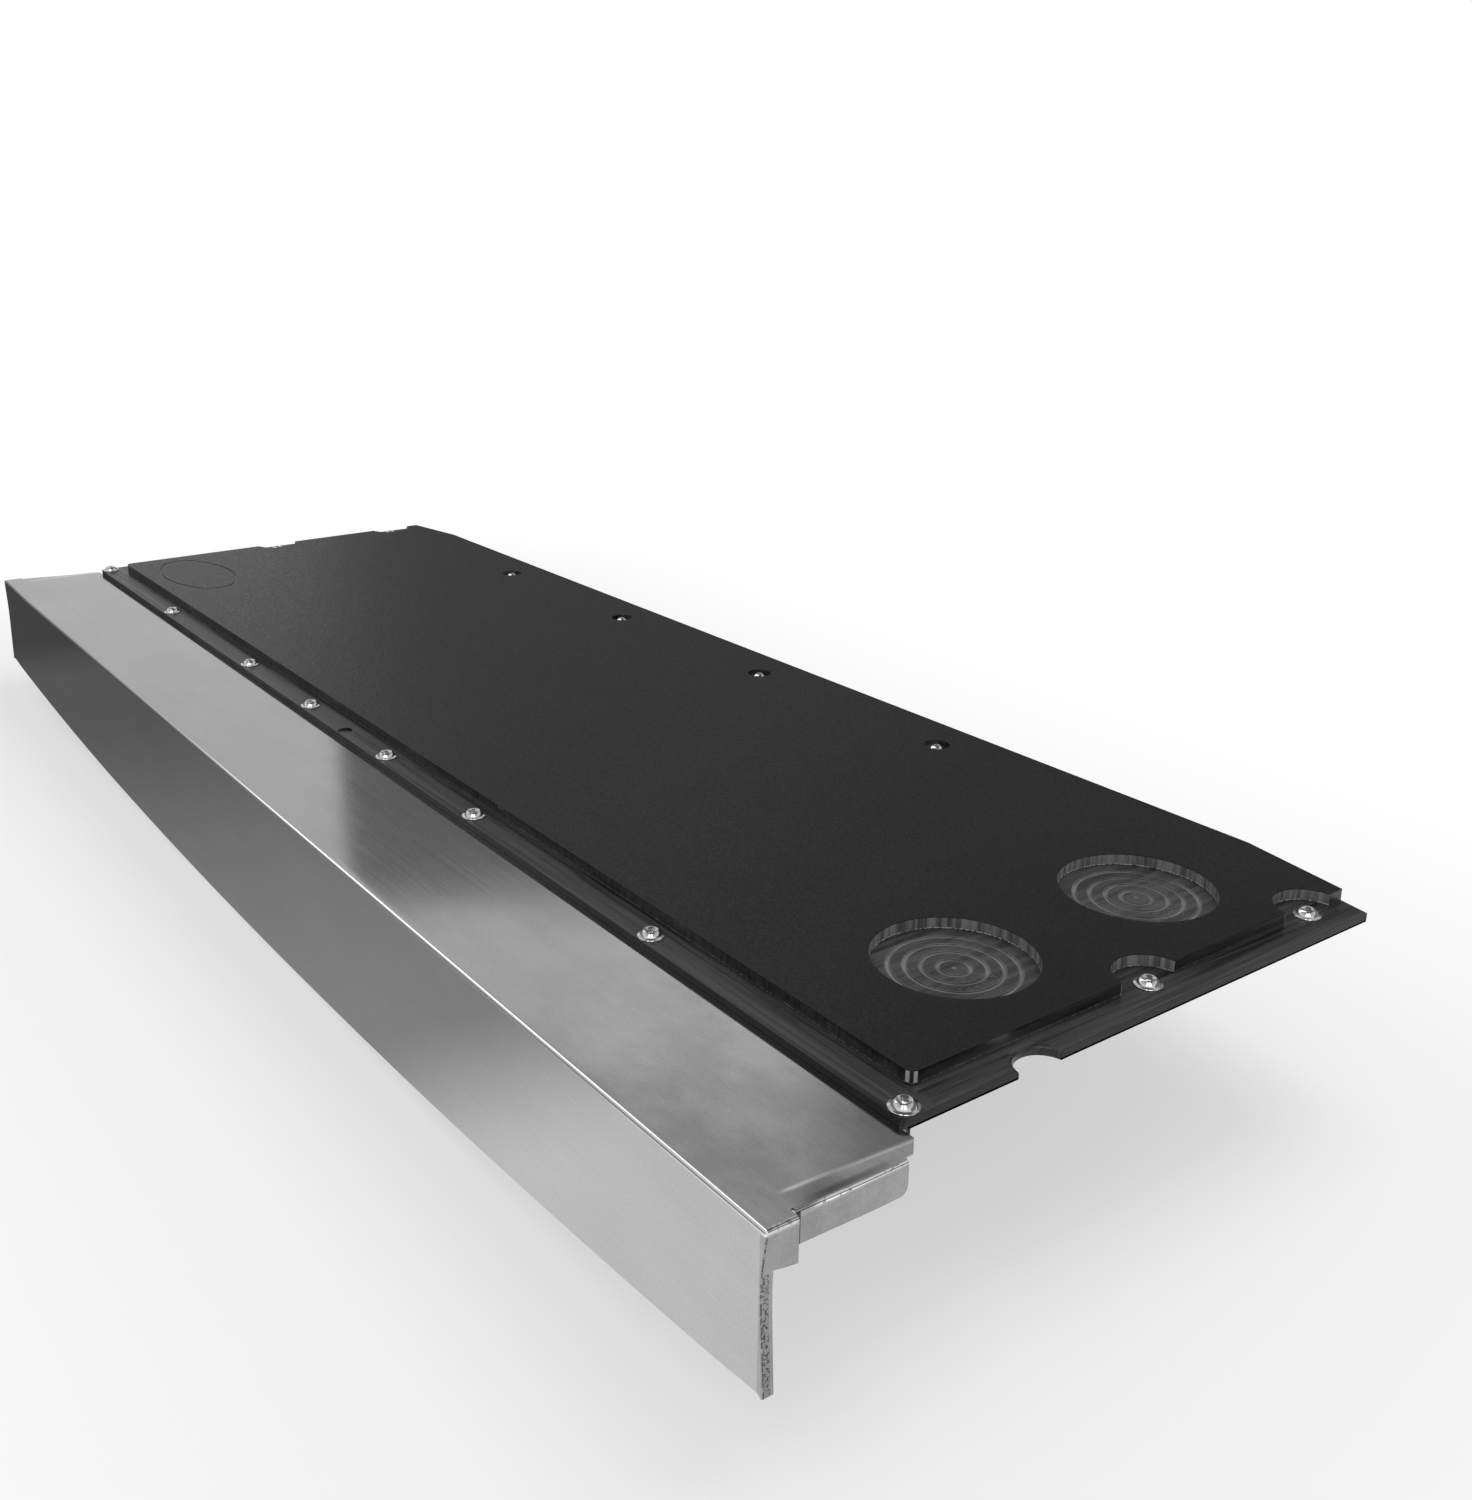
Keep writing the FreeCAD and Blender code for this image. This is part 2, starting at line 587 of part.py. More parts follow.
def build_cap():
    """The folded cap: a thin rounded case whose unused walls are cut away."""
    wall = size("sheet")
    inside_fold = size("fold_radius")
    outside_fold = inside_fold + wall
    end_sag = size("face_middle_depth") - size("face_end_depth")
    arch = (CAP_HALF * CAP_HALF + end_sag * end_sag) / (end_sag * 2)
    bottom = CAP_TOP_Z - size("face_middle_depth")
    arch_centre = bottom + arch
    beyond = outside_fold * 2

    def case(name, half, front, back, top, radius, fold):
        """A block with an arched underside and rounded front, top and end folds."""
        block = new_box(f"{name}_block", (-half, half), (front, back), (bottom - beyond, top))
        drum = new_drum(f"{name}_arch", radius, (front - beyond, back + beyond), arch_centre)
        arched = joined("Part::MultiCommon", f"{name}_arched", [block, drum])

        def is_fold(edge):
            box = edge.BoundBox
            at_front = near(box.YMin, front) and near(box.YMax, front)
            at_end = near(box.XMin, half) or near(box.XMax, -half)
            if box.XLength > half.value:
                return at_front
            return at_end and (at_front or near(box.ZMin, top))

        return rounded(f"{name}_rounded", arched, fold, is_fold)

    outer = case("cap_outer", CAP_HALF, CAP_FRONT, CAP_BACK, CAP_TOP_Z, arch, outside_fold)
    inner = case("cap_inner", CAP_HALF - wall, CAP_FRONT + wall, CAP_BACK + beyond, ZERO,
                 arch - wall, inside_fold)
    shell = cut("cap_shell", outer, inner)

    tab_end = CAP_FRONT + size("corner_tab_width")
    roll_start = CAP_HALF - size("end_tab_setback") - size("roll_width")
    everything_y = CAP_BACK + beyond
    everything_z = bottom - beyond
    far_x = CAP_HALF + beyond
    above = CAP_TOP_Z + beyond
    ends_inside = CAP_HALF - wall - inside_fold

    windows = [
        new_box("inside_of_lip", (-far_x, far_x), (CAP_FRONT + size("lip_width"), everything_y),
                (everything_z, -(size("corner_tab_depth")) - outside_fold)),
    ]
    for side, flip in (("near", 1), ("far", -1)):
        def span(low, high, flip=flip):
            """The same stretch of X on this side of the middle."""
            return (low, high) if flip > 0 else (-high, -low)
        windows += [
            new_box(f"{side}_end_below_tab", span(ends_inside, far_x),
                    (CAP_FRONT + size("end_return"), everything_y),
                    (everything_z, CAP_TOP_Z - size("corner_tab_depth"))),
            new_box(f"{side}_end_behind_tab", span(roll_start, far_x),
                    (tab_end, everything_y), (everything_z, above)),
            new_box(f"{side}_covered_end", span(COVER_HALF, far_x),
                    (FRONT, everything_y), (everything_z, above)),
        ]
    openings = joined("Part::MultiFuse", "cap_windows", windows)
    pieces = [cut("cap_open", shell, openings)]
    pieces += [build_end_tab(side, tab_end, roll_start) for side in ("near", "far")]
    folded = joined("Part::MultiFuse", "cap_folded", pieces)

    drills = [
        new_pin(f"cap_drill_{number}", size("ledge_hole_radius"), x, y, (-beyond, above))
        for number, (x, y) in enumerate(FRONT_SCREW_PLACES, start=1)]

    cap = cut("edge_cap", folded, joined("Part::MultiFuse", "cap_drills", drills))
    cap.Label = "edge_cap"
    return cap


def build_end_tab(side, start_y, roll_start):
    """The strip beside an end, which slopes down more and more towards the board, and the tab
    folded down from it."""
    wall = size("sheet")
    inside_fold = size("fold_radius")
    outside_fold = inside_fold + wall
    outer_x = CAP_HALF - size("end_tab_setback")
    fold_x = outer_x - outside_fold
    tab_start = start_y + size("tab_slit")
    tab_end = tab_start + size("end_tab_width")
    body = new_body(f"{side}_end_tab")

    def on_side(corners):
        """The corners as given for the near end, mirrored for the far end."""
        return corners if side == "near" else mirrored(corners)

    def strip_profile(place, y, drop):
        """The strip and its tab, cut across at that Y."""
        top = CAP_TOP_Z - drop
        foot = top - size("end_tab_depth")
        sketch = new_sketch(body, f"{side}_strip_{place}", "XZ_Plane", -y)
        draw_outline(sketch, on_side([
            (roll_start - wall, CAP_TOP_Z - wall), (roll_start - wall, CAP_TOP_Z),
            (roll_start, CAP_TOP_Z),
            (fold_x, top, outside_fold, True),
            (outer_x, top - outside_fold), (outer_x, foot), (outer_x - wall, foot),
            (outer_x - wall, top - outside_fold, inside_fold, False),
            (fold_x, top - wall), (roll_start, CAP_TOP_Z - wall)]))
        return sketch

    strip = body.newObject("PartDesign::AdditiveLoft", f"{side}_strip")
    strip.Profile = strip_profile("front", start_y, ZERO)
    strip.Sections = [strip_profile("rear", FRONT, size("roll_drop"))]
    strip.Ruled = True
    finish_feature(body, strip)

    full_depth = size("end_tab_depth") + size("roll_drop") + wall
    slit = new_sketch(body, f"{side}_slit", "XY_Plane", CAP_TOP_Z)
    draw_outline(slit, on_side([
        (fold_x, start_y - wall), (outer_x + wall, start_y - wall),
        (outer_x + wall, tab_start), (fold_x, tab_start)]))
    pocket(body, slit, full_depth, f"{side}_slit_cut")

    corner = new_sketch(body, f"{side}_rear_corner", "XY_Plane", CAP_TOP_Z)
    cut_length = size("end_corner_cut")
    draw_outline(corner, on_side([
        (outer_x + wall, tab_end), (outer_x + wall, FRONT + wall),
        (outer_x - cut_length - wall, FRONT + wall),
        (fold_x, FRONT - cut_length + outside_fold), (fold_x, tab_end)]))
    pocket(body, corner, full_depth, f"{side}_rear_corner_cut")

    def is_lower_corner(edge):
        box = edge.BoundBox
        return (near(box.XLength, wall) and near(box.YMin, tab_end) and near(box.YMax, tab_end)
                and box.ZMax < -(size("end_tab_depth").value) / 2)

    fillet(body, size("end_tab_corner"), f"{side}_tab_corner", is_lower_corner)
    return body


def mirrored(corners):
    """The outline on the other side of X = 0, drawn in the same sense."""
    flipped = []
    count = len(corners)
    for number in range(count - 1, -1, -1):
        here = corners[number]
        before = corners[number - 1]
        point = (-here[0], here[1])
        if len(before) > 2:
            point += (before[2], before[3])
        flipped.append(point)
    return flipped


def build_all():
    """Every piece of the panel, by its node name."""
    pieces = {"board": build_board(), "edge_cap": build_cap()}
    flanged = flanged_profile()
    for number, place in enumerate(FRONT_SCREW_PLACES, start=1):
        name = f"front_screw_{number}"
        pieces[name] = build_screw(name, place, LEDGE_TOP, "flanged", flanged)
    for number, place in enumerate(END_SCREW_PLACES, start=1):
        name = f"end_screw_{number}"
        pieces[name] = build_screw(name, place, LEDGE_TOP, "flanged", flanged)
    button = button_profile()
    for number, place in enumerate(TABLE_SCREW_PLACES, start=1):
        name = f"table_screw_{number}"
        pieces[name] = build_screw(name, place, COUNTERBORE_FLOOR, "button", button)
    return pieces


parts = build_all()
doc.recompute()
for item in doc.Objects:
    if "Invalid" in item.State or "Error" in item.State:
        raise RuntimeError(f"{item.Name} failed: {item.State}")
for name, item in parts.items():
    if item.Shape.isNull() or not item.Shape.isValid():
        raise RuntimeError(f"{name} has no valid shape")
    if len(item.Shape.Solids) != 1:
        raise RuntimeError(f"{name} has {len(item.Shape.Solids)} solids")

os.makedirs("parts", exist_ok=True)
for name, item in parts.items():
    item.Shape.exportStep(f"parts/{name}.step")
    box = item.Shape.BoundBox
    print(f"{name}: {item.Shape.Volume / 1000:.1f} cm3, "
          f"{box.XLength:.1f} x {box.YLength:.1f} x {box.ZLength:.1f} mm")
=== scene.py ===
# %% [markdown]
# # Tailgate table panel
# The real thing is a black panel routed from one thick sheet of plastic. A folded steel cap runs
# along its front, and bright flanged screws hold both down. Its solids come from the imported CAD
# model, which is the fixed frame here: every piece made below sits in the same metres and in the
# same place. The CAD solids could simply be painted, but their folds and edges are coarse or
# sharp, so the board, the cap and the screws get finer meshes that stand exactly where they are.

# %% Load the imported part
import math

import bmesh
import bpy
from mathutils import Matrix, Vector


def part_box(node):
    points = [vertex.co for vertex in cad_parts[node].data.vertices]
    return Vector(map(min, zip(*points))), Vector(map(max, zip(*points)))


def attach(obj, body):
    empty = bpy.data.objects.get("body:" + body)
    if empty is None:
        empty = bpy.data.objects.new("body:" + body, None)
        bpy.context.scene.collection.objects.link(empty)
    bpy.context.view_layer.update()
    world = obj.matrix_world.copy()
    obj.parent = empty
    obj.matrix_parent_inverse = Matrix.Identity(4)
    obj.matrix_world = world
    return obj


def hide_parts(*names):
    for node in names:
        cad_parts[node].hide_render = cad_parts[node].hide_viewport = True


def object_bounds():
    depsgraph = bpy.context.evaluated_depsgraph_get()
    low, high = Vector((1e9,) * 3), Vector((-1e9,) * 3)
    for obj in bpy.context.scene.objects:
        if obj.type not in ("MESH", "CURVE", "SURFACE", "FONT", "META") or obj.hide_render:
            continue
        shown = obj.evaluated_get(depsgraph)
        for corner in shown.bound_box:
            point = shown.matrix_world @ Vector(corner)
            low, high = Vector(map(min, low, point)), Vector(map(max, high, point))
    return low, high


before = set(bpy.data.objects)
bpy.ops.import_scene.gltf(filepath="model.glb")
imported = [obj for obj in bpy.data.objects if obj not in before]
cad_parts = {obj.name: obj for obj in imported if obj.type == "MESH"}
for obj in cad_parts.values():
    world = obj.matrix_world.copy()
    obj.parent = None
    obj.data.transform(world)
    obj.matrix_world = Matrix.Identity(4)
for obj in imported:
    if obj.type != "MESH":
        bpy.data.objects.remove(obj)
cad_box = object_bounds()
MM = 0.001


def with_settings(thing, **settings):
    """The same thing with those settings."""
    for name, value in settings.items():
        setattr(thing, name, value)
    return thing


def link_object(name, data):
    """An object at the origin of the scene."""
    made = bpy.data.objects.new(name, data)
    bpy.context.scene.collection.objects.link(made)
    return made


print("CAD box", [[round(number, 4) for number in corner] for corner in cad_box])

# %% [markdown]
# The camera stands beyond the near end, a little above the panel, and looks along it. Its place,
# direction and focal length were solved from straight edges and circles in the photograph. The
# small shift is the photograph's own crop.

# %% Camera
CAMERA_PLACE = Vector((1.1877, -0.7035, 0.4619))
CAMERA_FORWARD = Vector((-0.7860, 0.5435, -0.2946))
SENSOR_MM = 36.0
LENS_MM = 37.294
SHIFT_X = 0.0549
SHIFT_Y = -0.0630

camera_data = with_settings(bpy.data.cameras.new("camera"), sensor_width=SENSOR_MM, lens=LENS_MM,
                            shift_x=SHIFT_X, shift_y=SHIFT_Y, clip_start=10 * MM)
camera = with_settings(link_object("camera", camera_data), location=CAMERA_PLACE,
                       rotation_mode="QUATERNION",
                       rotation_quaternion=CAMERA_FORWARD.to_track_quat("-Z", "Y"))
bpy.context.scene.camera = camera
bpy.context.scene.view_settings.view_transform = "Standard"
print("camera at", tuple(round(number, 3) for number in camera.location))

# %% [markdown]
# Every finish below is a node material. Adding nodes one by one takes many lines, so a small
# helper does it: each method adds one node and gives back its output, and any number may be a
# plain value or another node's output.

# %% A helper for node trees
SMOOTH, STRAIGHT = "SMOOTHSTEP", "LINEAR"


class Wiring:
    """Adds nodes to one tree and joins them up."""

    def __init__(self, tree):
        self.tree = tree

    def node(self, kind, values=(), **settings):
        """The outputs of a new node with those settings, its inputs fed with those values."""
        added = with_settings(self.tree.nodes.new(kind), **settings)
        for name, value in dict(values).items():
            self.feed(added.inputs[name], value)
        return added.outputs

    def feed(self, socket, value):
        """Set a socket to a plain value, or join an output to it."""
        if isinstance(value, bpy.types.NodeSocket):
            self.tree.links.new(value, socket)
        else:
            socket.default_value = value

    def math(self, operation, *numbers):
        """One sum: ADD, MULTIPLY, MAXIMUM and so on."""
        return self.node("ShaderNodeMath", enumerate(numbers), operation=operation)[0]

    def ramp(self, value, low, high, start=0.0, end=1.0, kind=SMOOTH):
        """Goes from start to end while value goes from low to high."""
        values = {"Value": value, "From Min": low, "From Max": high, "To Min": start, "To Max": end}
        return self.node("ShaderNodeMapRange", values, interpolation_type=kind)["Result"]

    def falls(self, value, low, high):
        """Goes from one to nothing while value goes from low to high."""
        return self.ramp(value, low, high, 1.0, 0.0)

    def between(self, value, low, high, soft):
        """One inside low..high and nothing outside, with soft edges."""
        return self.product(self.ramp(value, low - soft, low + soft),
                            self.falls(value, high - soft, high + soft))

    def mix(self, share, first, second):
        """From first to second as share goes from nothing to one."""
        return self.ramp(share, 0, 1, first, second, STRAIGHT)

    def product(self, first, *others):
        """All the numbers multiplied together."""
        for other in others:
            first = self.math("MULTIPLY", first, other)
        return first

    def largest(self, first, *others):
        """The largest of the numbers."""
        for other in others:
            first = self.math("MAXIMUM", first, other)
        return first

    def length(self, across, along):
        """How long a step is that goes so far across and so far along."""
        squares = self.math("ADD", self.product(across, across), self.product(along, along))
        return self.math("SQRT", squares)

    def object_place(self):
        """The point's place in the piece's own metres."""
        return self.node("ShaderNodeTexCoord")["Object"]

    def split(self, vector):
        """The three parts of a vector."""
        return self.node("ShaderNodeSeparateXYZ", {0: vector})

    def scaled(self, vector, scale):
        """A vector scaled along each axis, to stretch a pattern."""
        return self.node("ShaderNodeVectorMath", {0: vector, 1: scale}, operation="MULTIPLY")[0]

    def millimetres(self, place):
        """The three parts of a place, in millimetres."""
        return self.split(self.scaled(place, (1 / MM, 1 / MM, 1 / MM)))

    def noise(self, vector, scale, detail=2.0, roughness=0.5):
        """Soft random cloud, about 0.5 on average."""
        return self.node("ShaderNodeTexNoise", {"Vector": vector, "Scale": scale, "Detail": detail,
                                                "Roughness": roughness})["Fac"]

    def bump(self, height, distance, strength=1.0, below=None):
        """Tilts the surface as if it had that height, in metres times distance."""
        values = {"Height": height, "Distance": distance, "Strength": strength}
        if below is not None:
            values["Normal"] = below
        return self.node("ShaderNodeBump", values)["Normal"]

    def surface(self, shader):
        """Make this shader the material's surface."""
        self.feed(self.tree.nodes["Material Output"].inputs["Surface"], shader)


def new_finish(name):
    """A node material, its wiring and its shader's inputs."""
    material = with_settings(bpy.data.materials.new(name), use_nodes=True)
    shader = material.node_tree.nodes["Principled BSDF"]
    return material, Wiring(material.node_tree), shader.inputs


print("node helper ready")

# %% [markdown]
# The panel stands on a plain pale floor. Close by, the floor is a matt surface that takes the
# panel's shadow. Farther out it turns to plain white, so no horizon shows. The same white is
# there for glossy and transmitted rays, so the steel mirrors the background that the eye sees.

# %% Floor
FLOOR_GAP = 0.5 * MM
FLOOR_SIZE = 30.0
FLOOR_GREY = 0.86
FADE_FROM, FADE_TO = 0.05, 0.60
NEAR_WHITE = 0.55

bpy.ops.mesh.primitive_plane_add(size=FLOOR_SIZE, location=(0, 0, cad_box[0][2] - FLOOR_GAP))
floor = bpy.context.object
floor.name = "floor"


def seen_rays(wiring):
    """One for rays from the eye, from a mirror or through glass, and nothing for the rest."""
    rays = wiring.node("ShaderNodeLightPath")
    return wiring.largest(rays["Is Camera Ray"], rays["Is Glossy Ray"], rays["Is Transmission Ray"])


def outside(wiring, number, low, high):
    """How far a number lies outside low..high."""
    off_middle = wiring.math("ABSOLUTE", wiring.math("SUBTRACT", number, (low + high) / 2))
    return wiring.largest(wiring.math("SUBTRACT", off_middle, (high - low) / 2), 0.0)


paper, wiring, inputs = new_finish("floor_paper")
inputs["Base Color"].default_value = (FLOOR_GREY, FLOOR_GREY, FLOOR_GREY, 1)
inputs["Roughness"].default_value = 1.0
inputs["Specular IOR Level"].default_value = 0.0
x, y, z = wiring.split(wiring.object_place())
across = outside(wiring, x, cad_box[0][0], cad_box[1][0])
along = outside(wiring, y, cad_box[0][1], cad_box[1][1])
whiter = wiring.ramp(wiring.length(across, along), FADE_FROM, FADE_TO, NEAR_WHITE, 1.0)
matt = paper.node_tree.nodes["Principled BSDF"].outputs[0]
white = wiring.node("ShaderNodeEmission")[0]
share = wiring.product(seen_rays(wiring), whiter)
wiring.surface(wiring.node("ShaderNodeMixShader", {0: share, 1: matt, 2: white})[0])
floor.data.materials.append(paper)
print("floor at", round(floor.location.z, 4), "m")

# %% [markdown]
# Light is a white studio: an even world, and one large soft lamp overhead that gives the panel a
# gentle shadow. The world is weaker for scattered light, so the lamp still shapes the forms.
# Mirrors don't see the lamp: what they see is set further down.

# %% World and lamp
WORLD_LIGHT = 0.62
LAMP_WATTS = 26
LAMP_PLACE = (0.3, 0.9, 2.3)
LAMP_SIZE = 1.6

world = with_settings(bpy.data.worlds.new("studio"), use_nodes=True)
wiring = Wiring(world.node_tree)
sky = world.node_tree.nodes["Background"].inputs
wiring.feed(sky["Color"], (1, 1, 1, 1))
wiring.feed(sky["Strength"], wiring.mix(seen_rays(wiring), WORLD_LIGHT, 1.0))
bpy.context.scene.world = world

lamp_data = with_settings(bpy.data.lights.new("overhead", "AREA"), size=LAMP_SIZE,
                          energy=LAMP_WATTS)
with_settings(link_object("overhead", lamp_data), location=LAMP_PLACE, visible_glossy=False,
              rotation_mode="QUATERNION",
              rotation_quaternion=(-Vector(LAMP_PLACE)).to_track_quat("-Z", "Y"))
print("lamp", LAMP_WATTS, "W")

# %% [markdown]
# Brushed steel looks like what it mirrors. A photographer puts grey cards round it, so the metal
# gets long bright and dark patches. Here one wide dome is that card. Only glossy rays see it, so
# it lights nothing, and its brightness follows direction: azimuth and height, in degrees. A dark
# flag stands low behind the far end, a paler band runs above it, and the dome is greyer overhead
# and nearly dark straight up. Dimmer flags stand beside the near end and low in front. A bright
# strip draws the thin light along the cap's fold, and two spots are there for the screws.

# %% Reflection dome
DOME_RADIUS, DOME_SEGMENTS, DOME_RINGS = 12.0, 96, 48
SOFT = 0.4
FLAG_AZIMUTHS, FLAG_TOP = (15, 158.6), 26.6
FLAG_LIGHT = 0.19
FAR_TOP, FAR_LIGHT = 26, 0.73
BAND_TOP, OVERHEAD_FROM = 32, 37.5
BAND_LIGHT, OVERHEAD_LIGHT = 0.78, 0.54
FRONT_EDGE, FRONT_HEIGHTS = -100, (9, 24)
FRONT_LIGHT = 0.22
SIDE_AZIMUTHS, SIDE_HEIGHTS = (100, 136), (20, 42)
SIDE_LIGHT = 0.24
ZENITH_HEIGHTS, ZENITH_LIGHT = (52, 60), 0.10
STRIP_SHARES, STRIP_SOFT, STRIP_FOOT = (-0.36, -0.06), 0.03, 26
STRIP_LIGHT = 2.0
SPOT_AZIMUTHS, SPOT_HEIGHTS = ((-70, -48), (-38, -12)), (30, 62)
SPOT_LIGHT = 2.4


def mesh_from(name, shape):
    """A mesh made from an edited shape, which is let go."""
    mesh = bpy.data.meshes.new(name)
    shape.to_mesh(mesh)
    shape.free()
    return mesh


def stage_card(name, mesh, level):
    """A backdrop that only mirrors see, as bright as level says: a function of the wiring and
    the place."""
    material, wiring, inputs = new_finish(name)
    material.node_tree.nodes.remove(material.node_tree.nodes["Principled BSDF"])
    strength = level(wiring, wiring.object_place())
    wiring.surface(wiring.node("ShaderNodeEmission", {"Strength": strength})[0])
    mesh.materials.append(material)
    card = with_settings(link_object(name, mesh), visible_camera=False, visible_diffuse=False,
                         visible_shadow=False, visible_transmission=False,
                         visible_volume_scatter=False)


def dome_level(wiring, place):
    """How bright the dome is in one direction: each patch is laid over the ones before it."""
    x, y, z = wiring.split(place)
    azimuth = wiring.math("DEGREES", wiring.math("ARCTAN2", y, x))
    height = wiring.math("DEGREES", wiring.math("ARCSINE", wiring.math("DIVIDE", z, DOME_RADIUS)))
    across = wiring.between(wiring.math("DIVIDE", y, DOME_RADIUS), *STRIP_SHARES, STRIP_SOFT)
    patches = [
        (wiring.between(azimuth, *FLAG_AZIMUTHS, SOFT),
         wiring.falls(height, FLAG_TOP - SOFT, FLAG_TOP + 2 * SOFT), FLAG_LIGHT),
        (wiring.ramp(azimuth, FLAG_AZIMUTHS[1] - SOFT, FLAG_AZIMUTHS[1] + SOFT),
         wiring.falls(height, FAR_TOP, FAR_TOP + 8 * SOFT), FAR_LIGHT),
        (wiring.between(azimuth, *SIDE_AZIMUTHS, 3 * SOFT),
         wiring.between(height, *SIDE_HEIGHTS, 4 * SOFT), SIDE_LIGHT),
        (wiring.falls(azimuth, FRONT_EDGE - 5 * SOFT, FRONT_EDGE + 5 * SOFT),
         wiring.falls(height, *FRONT_HEIGHTS), FRONT_LIGHT),
        (1.0, wiring.ramp(height, *ZENITH_HEIGHTS), ZENITH_LIGHT),
        (wiring.product(across, wiring.math("LESS_THAN", x, 0.0)),
         wiring.ramp(height, STRIP_FOOT - 3 * SOFT, STRIP_FOOT + 3 * SOFT), STRIP_LIGHT)]
    patches += [(wiring.between(azimuth, *azimuths, SOFT), wiring.between(height, *SPOT_HEIGHTS, SOFT),
                 SPOT_LIGHT) for azimuths in SPOT_AZIMUTHS]
    level = wiring.ramp(height, BAND_TOP, OVERHEAD_FROM, BAND_LIGHT, OVERHEAD_LIGHT)
    for sideways, upwards, light in patches:
        level = wiring.mix(wiring.product(sideways, upwards), level, light)
    return level


sphere = bmesh.new()
bmesh.ops.create_uvsphere(sphere, u_segments=DOME_SEGMENTS, v_segments=DOME_RINGS,
                          radius=DOME_RADIUS)
stage_card("reflection_dome", mesh_from("reflection_dome", sphere), dome_level)
print("dome radius", DOME_RADIUS)

# %% [markdown]
# The cap's front face leans over the floor and mirrors only the strip right in front of it. In
# the photograph that mirror image goes from dark at the far end to bright at the near end. A
# second card, flat on the floor and again only for mirrors, gives that long soft change.

# %% Floor card
CARD_X = (-4.0, 4.0)
CARD_Y = (-3.0, -0.3215)
CARD_LIFT = 0.3 * MM
CARD_DARK = 0.085
CARD_STEPS = ((-0.92, -0.70, 0.15), (-0.62, 0.35, 0.42), (0.26, 0.48, 1.02))


def card_level(wiring, place):
    """How bright the card is: dark at the far end and bright at the near end."""
    x = wiring.split(place)[0]
    level = CARD_DARK
    for low, high, light in CARD_STEPS:
        level = wiring.ramp(x, low, high, level, light)
    return level


card_height = floor.location.z + CARD_LIFT
card_corners = [(x, y, card_height) for x, y in ((CARD_X[0], CARD_Y[0]), (CARD_X[1], CARD_Y[0]),
                                                 (CARD_X[1], CARD_Y[1]), (CARD_X[0], CARD_Y[1]))]
card_mesh = bpy.data.meshes.new("floor_card")
card_mesh.from_pydata(card_corners, [], [(0, 1, 2, 3)])
stage_card("floor_card", card_mesh, card_level)
print("floor card", CARD_X, CARD_Y)

# %% [markdown]
# Pieces built with live modifiers are settled before they are handed over: the finished shape is
# read back as a plain mesh, and flat faces keep flat shading because each corner's normal is
# weighted by the size of the faces round it. Edges sharper than a set angle stay crisp.

# %% Helpers for finished pieces
WELD = 0.001 * MM


def modify(piece, name, kind, **settings):
    """Give the piece one more modifier, with those settings."""
    return with_settings(piece.modifiers.new(name, kind), **settings)


def read_back(source):
    """The source's finished shape as a plain mesh."""
    graph = bpy.context.evaluated_depsgraph_get()
    return bpy.data.meshes.new_from_object(source.evaluated_get(graph), depsgraph=graph)


def settle(source, crisp_angle):
    """The source with its modifiers applied, as a plain mesh object of the same name."""
    name = source.name
    mesh = read_back(source)
    bpy.data.objects.remove(source)
    mesh.shade_smooth()
    mesh.set_sharp_from_angle(angle=crisp_angle)
    smoothed = link_object(name, mesh)
    modify(smoothed, "weighted", "WEIGHTED_NORMAL", keep_sharp=True)
    mesh = read_back(smoothed)
    bpy.data.objects.remove(smoothed)
    mesh.name = name
    print(name, "has", len(mesh.polygons), "faces")
    return link_object(name, mesh)


def hand_over(piece, nodes):
    """Let the piece ride on the part's one body and stand for its CAD nodes."""
    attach(piece, "root")
    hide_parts(*nodes)


print("helpers ready")

# %% [markdown]
# The cap is one sheet of steel, folded by a press: a flat top, a front face whose foot is a long
# shallow arch, a lip turned inwards along that foot, and small tabs turned down at the ends. It
# could be cut from solid blocks, but a sheet is easier to get right as what it is: one thin
# surface with sharp corners, whose fold lines are then rounded by a Bevel modifier and whose
# thickness comes from Solidify. The main sizes are read from the CAD solid.

# %% Sizes of the cap, in millimetres
board_low, board_high = (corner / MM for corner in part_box("board"))
cap_low, cap_high = (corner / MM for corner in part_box("edge_cap"))
CAP_END = cap_high.x
CAP_FRONT = cap_low.y
CAP_TOP = cap_high.z
CAP_BACK, HIDDEN_ROW = -191.0, -204.0
BOARD_FRONT = board_low.y
COVER_END = 697.0
SHEET = 1.2
OUTER_FOLD = 2.6
FACE_END_FOOT = -92.8
FACE_MIDDLE_FOOT = cap_low.z
LIP = 9.5
TAB_PLANE = 719.5
TAB_START, TAB_END = -298.5, -227.0
TAB_DEPTH = 19.0
TAB_CORNER = 5.0
CORNER_TAB_BACK = -300.2
CORNER_TAB_SHARE = 0.269
RETURN_WIDTH = 7.0
CORNER_CUT_START = 708.0
CORNER_CUT_END = 716.4
TOLERANCE = 0.01
print("cap spans", round(2 * CAP_END, 1), "mm")

# %% [markdown]
# The real sheet isn't perfectly flat. Beside each end tab the top dips a little behind a soft
# bend, the far corner has been pulled up slightly, and the ends of the front face lean inwards
# between top and foot. Each of these is a small function that shifts a point of the flat sheet.

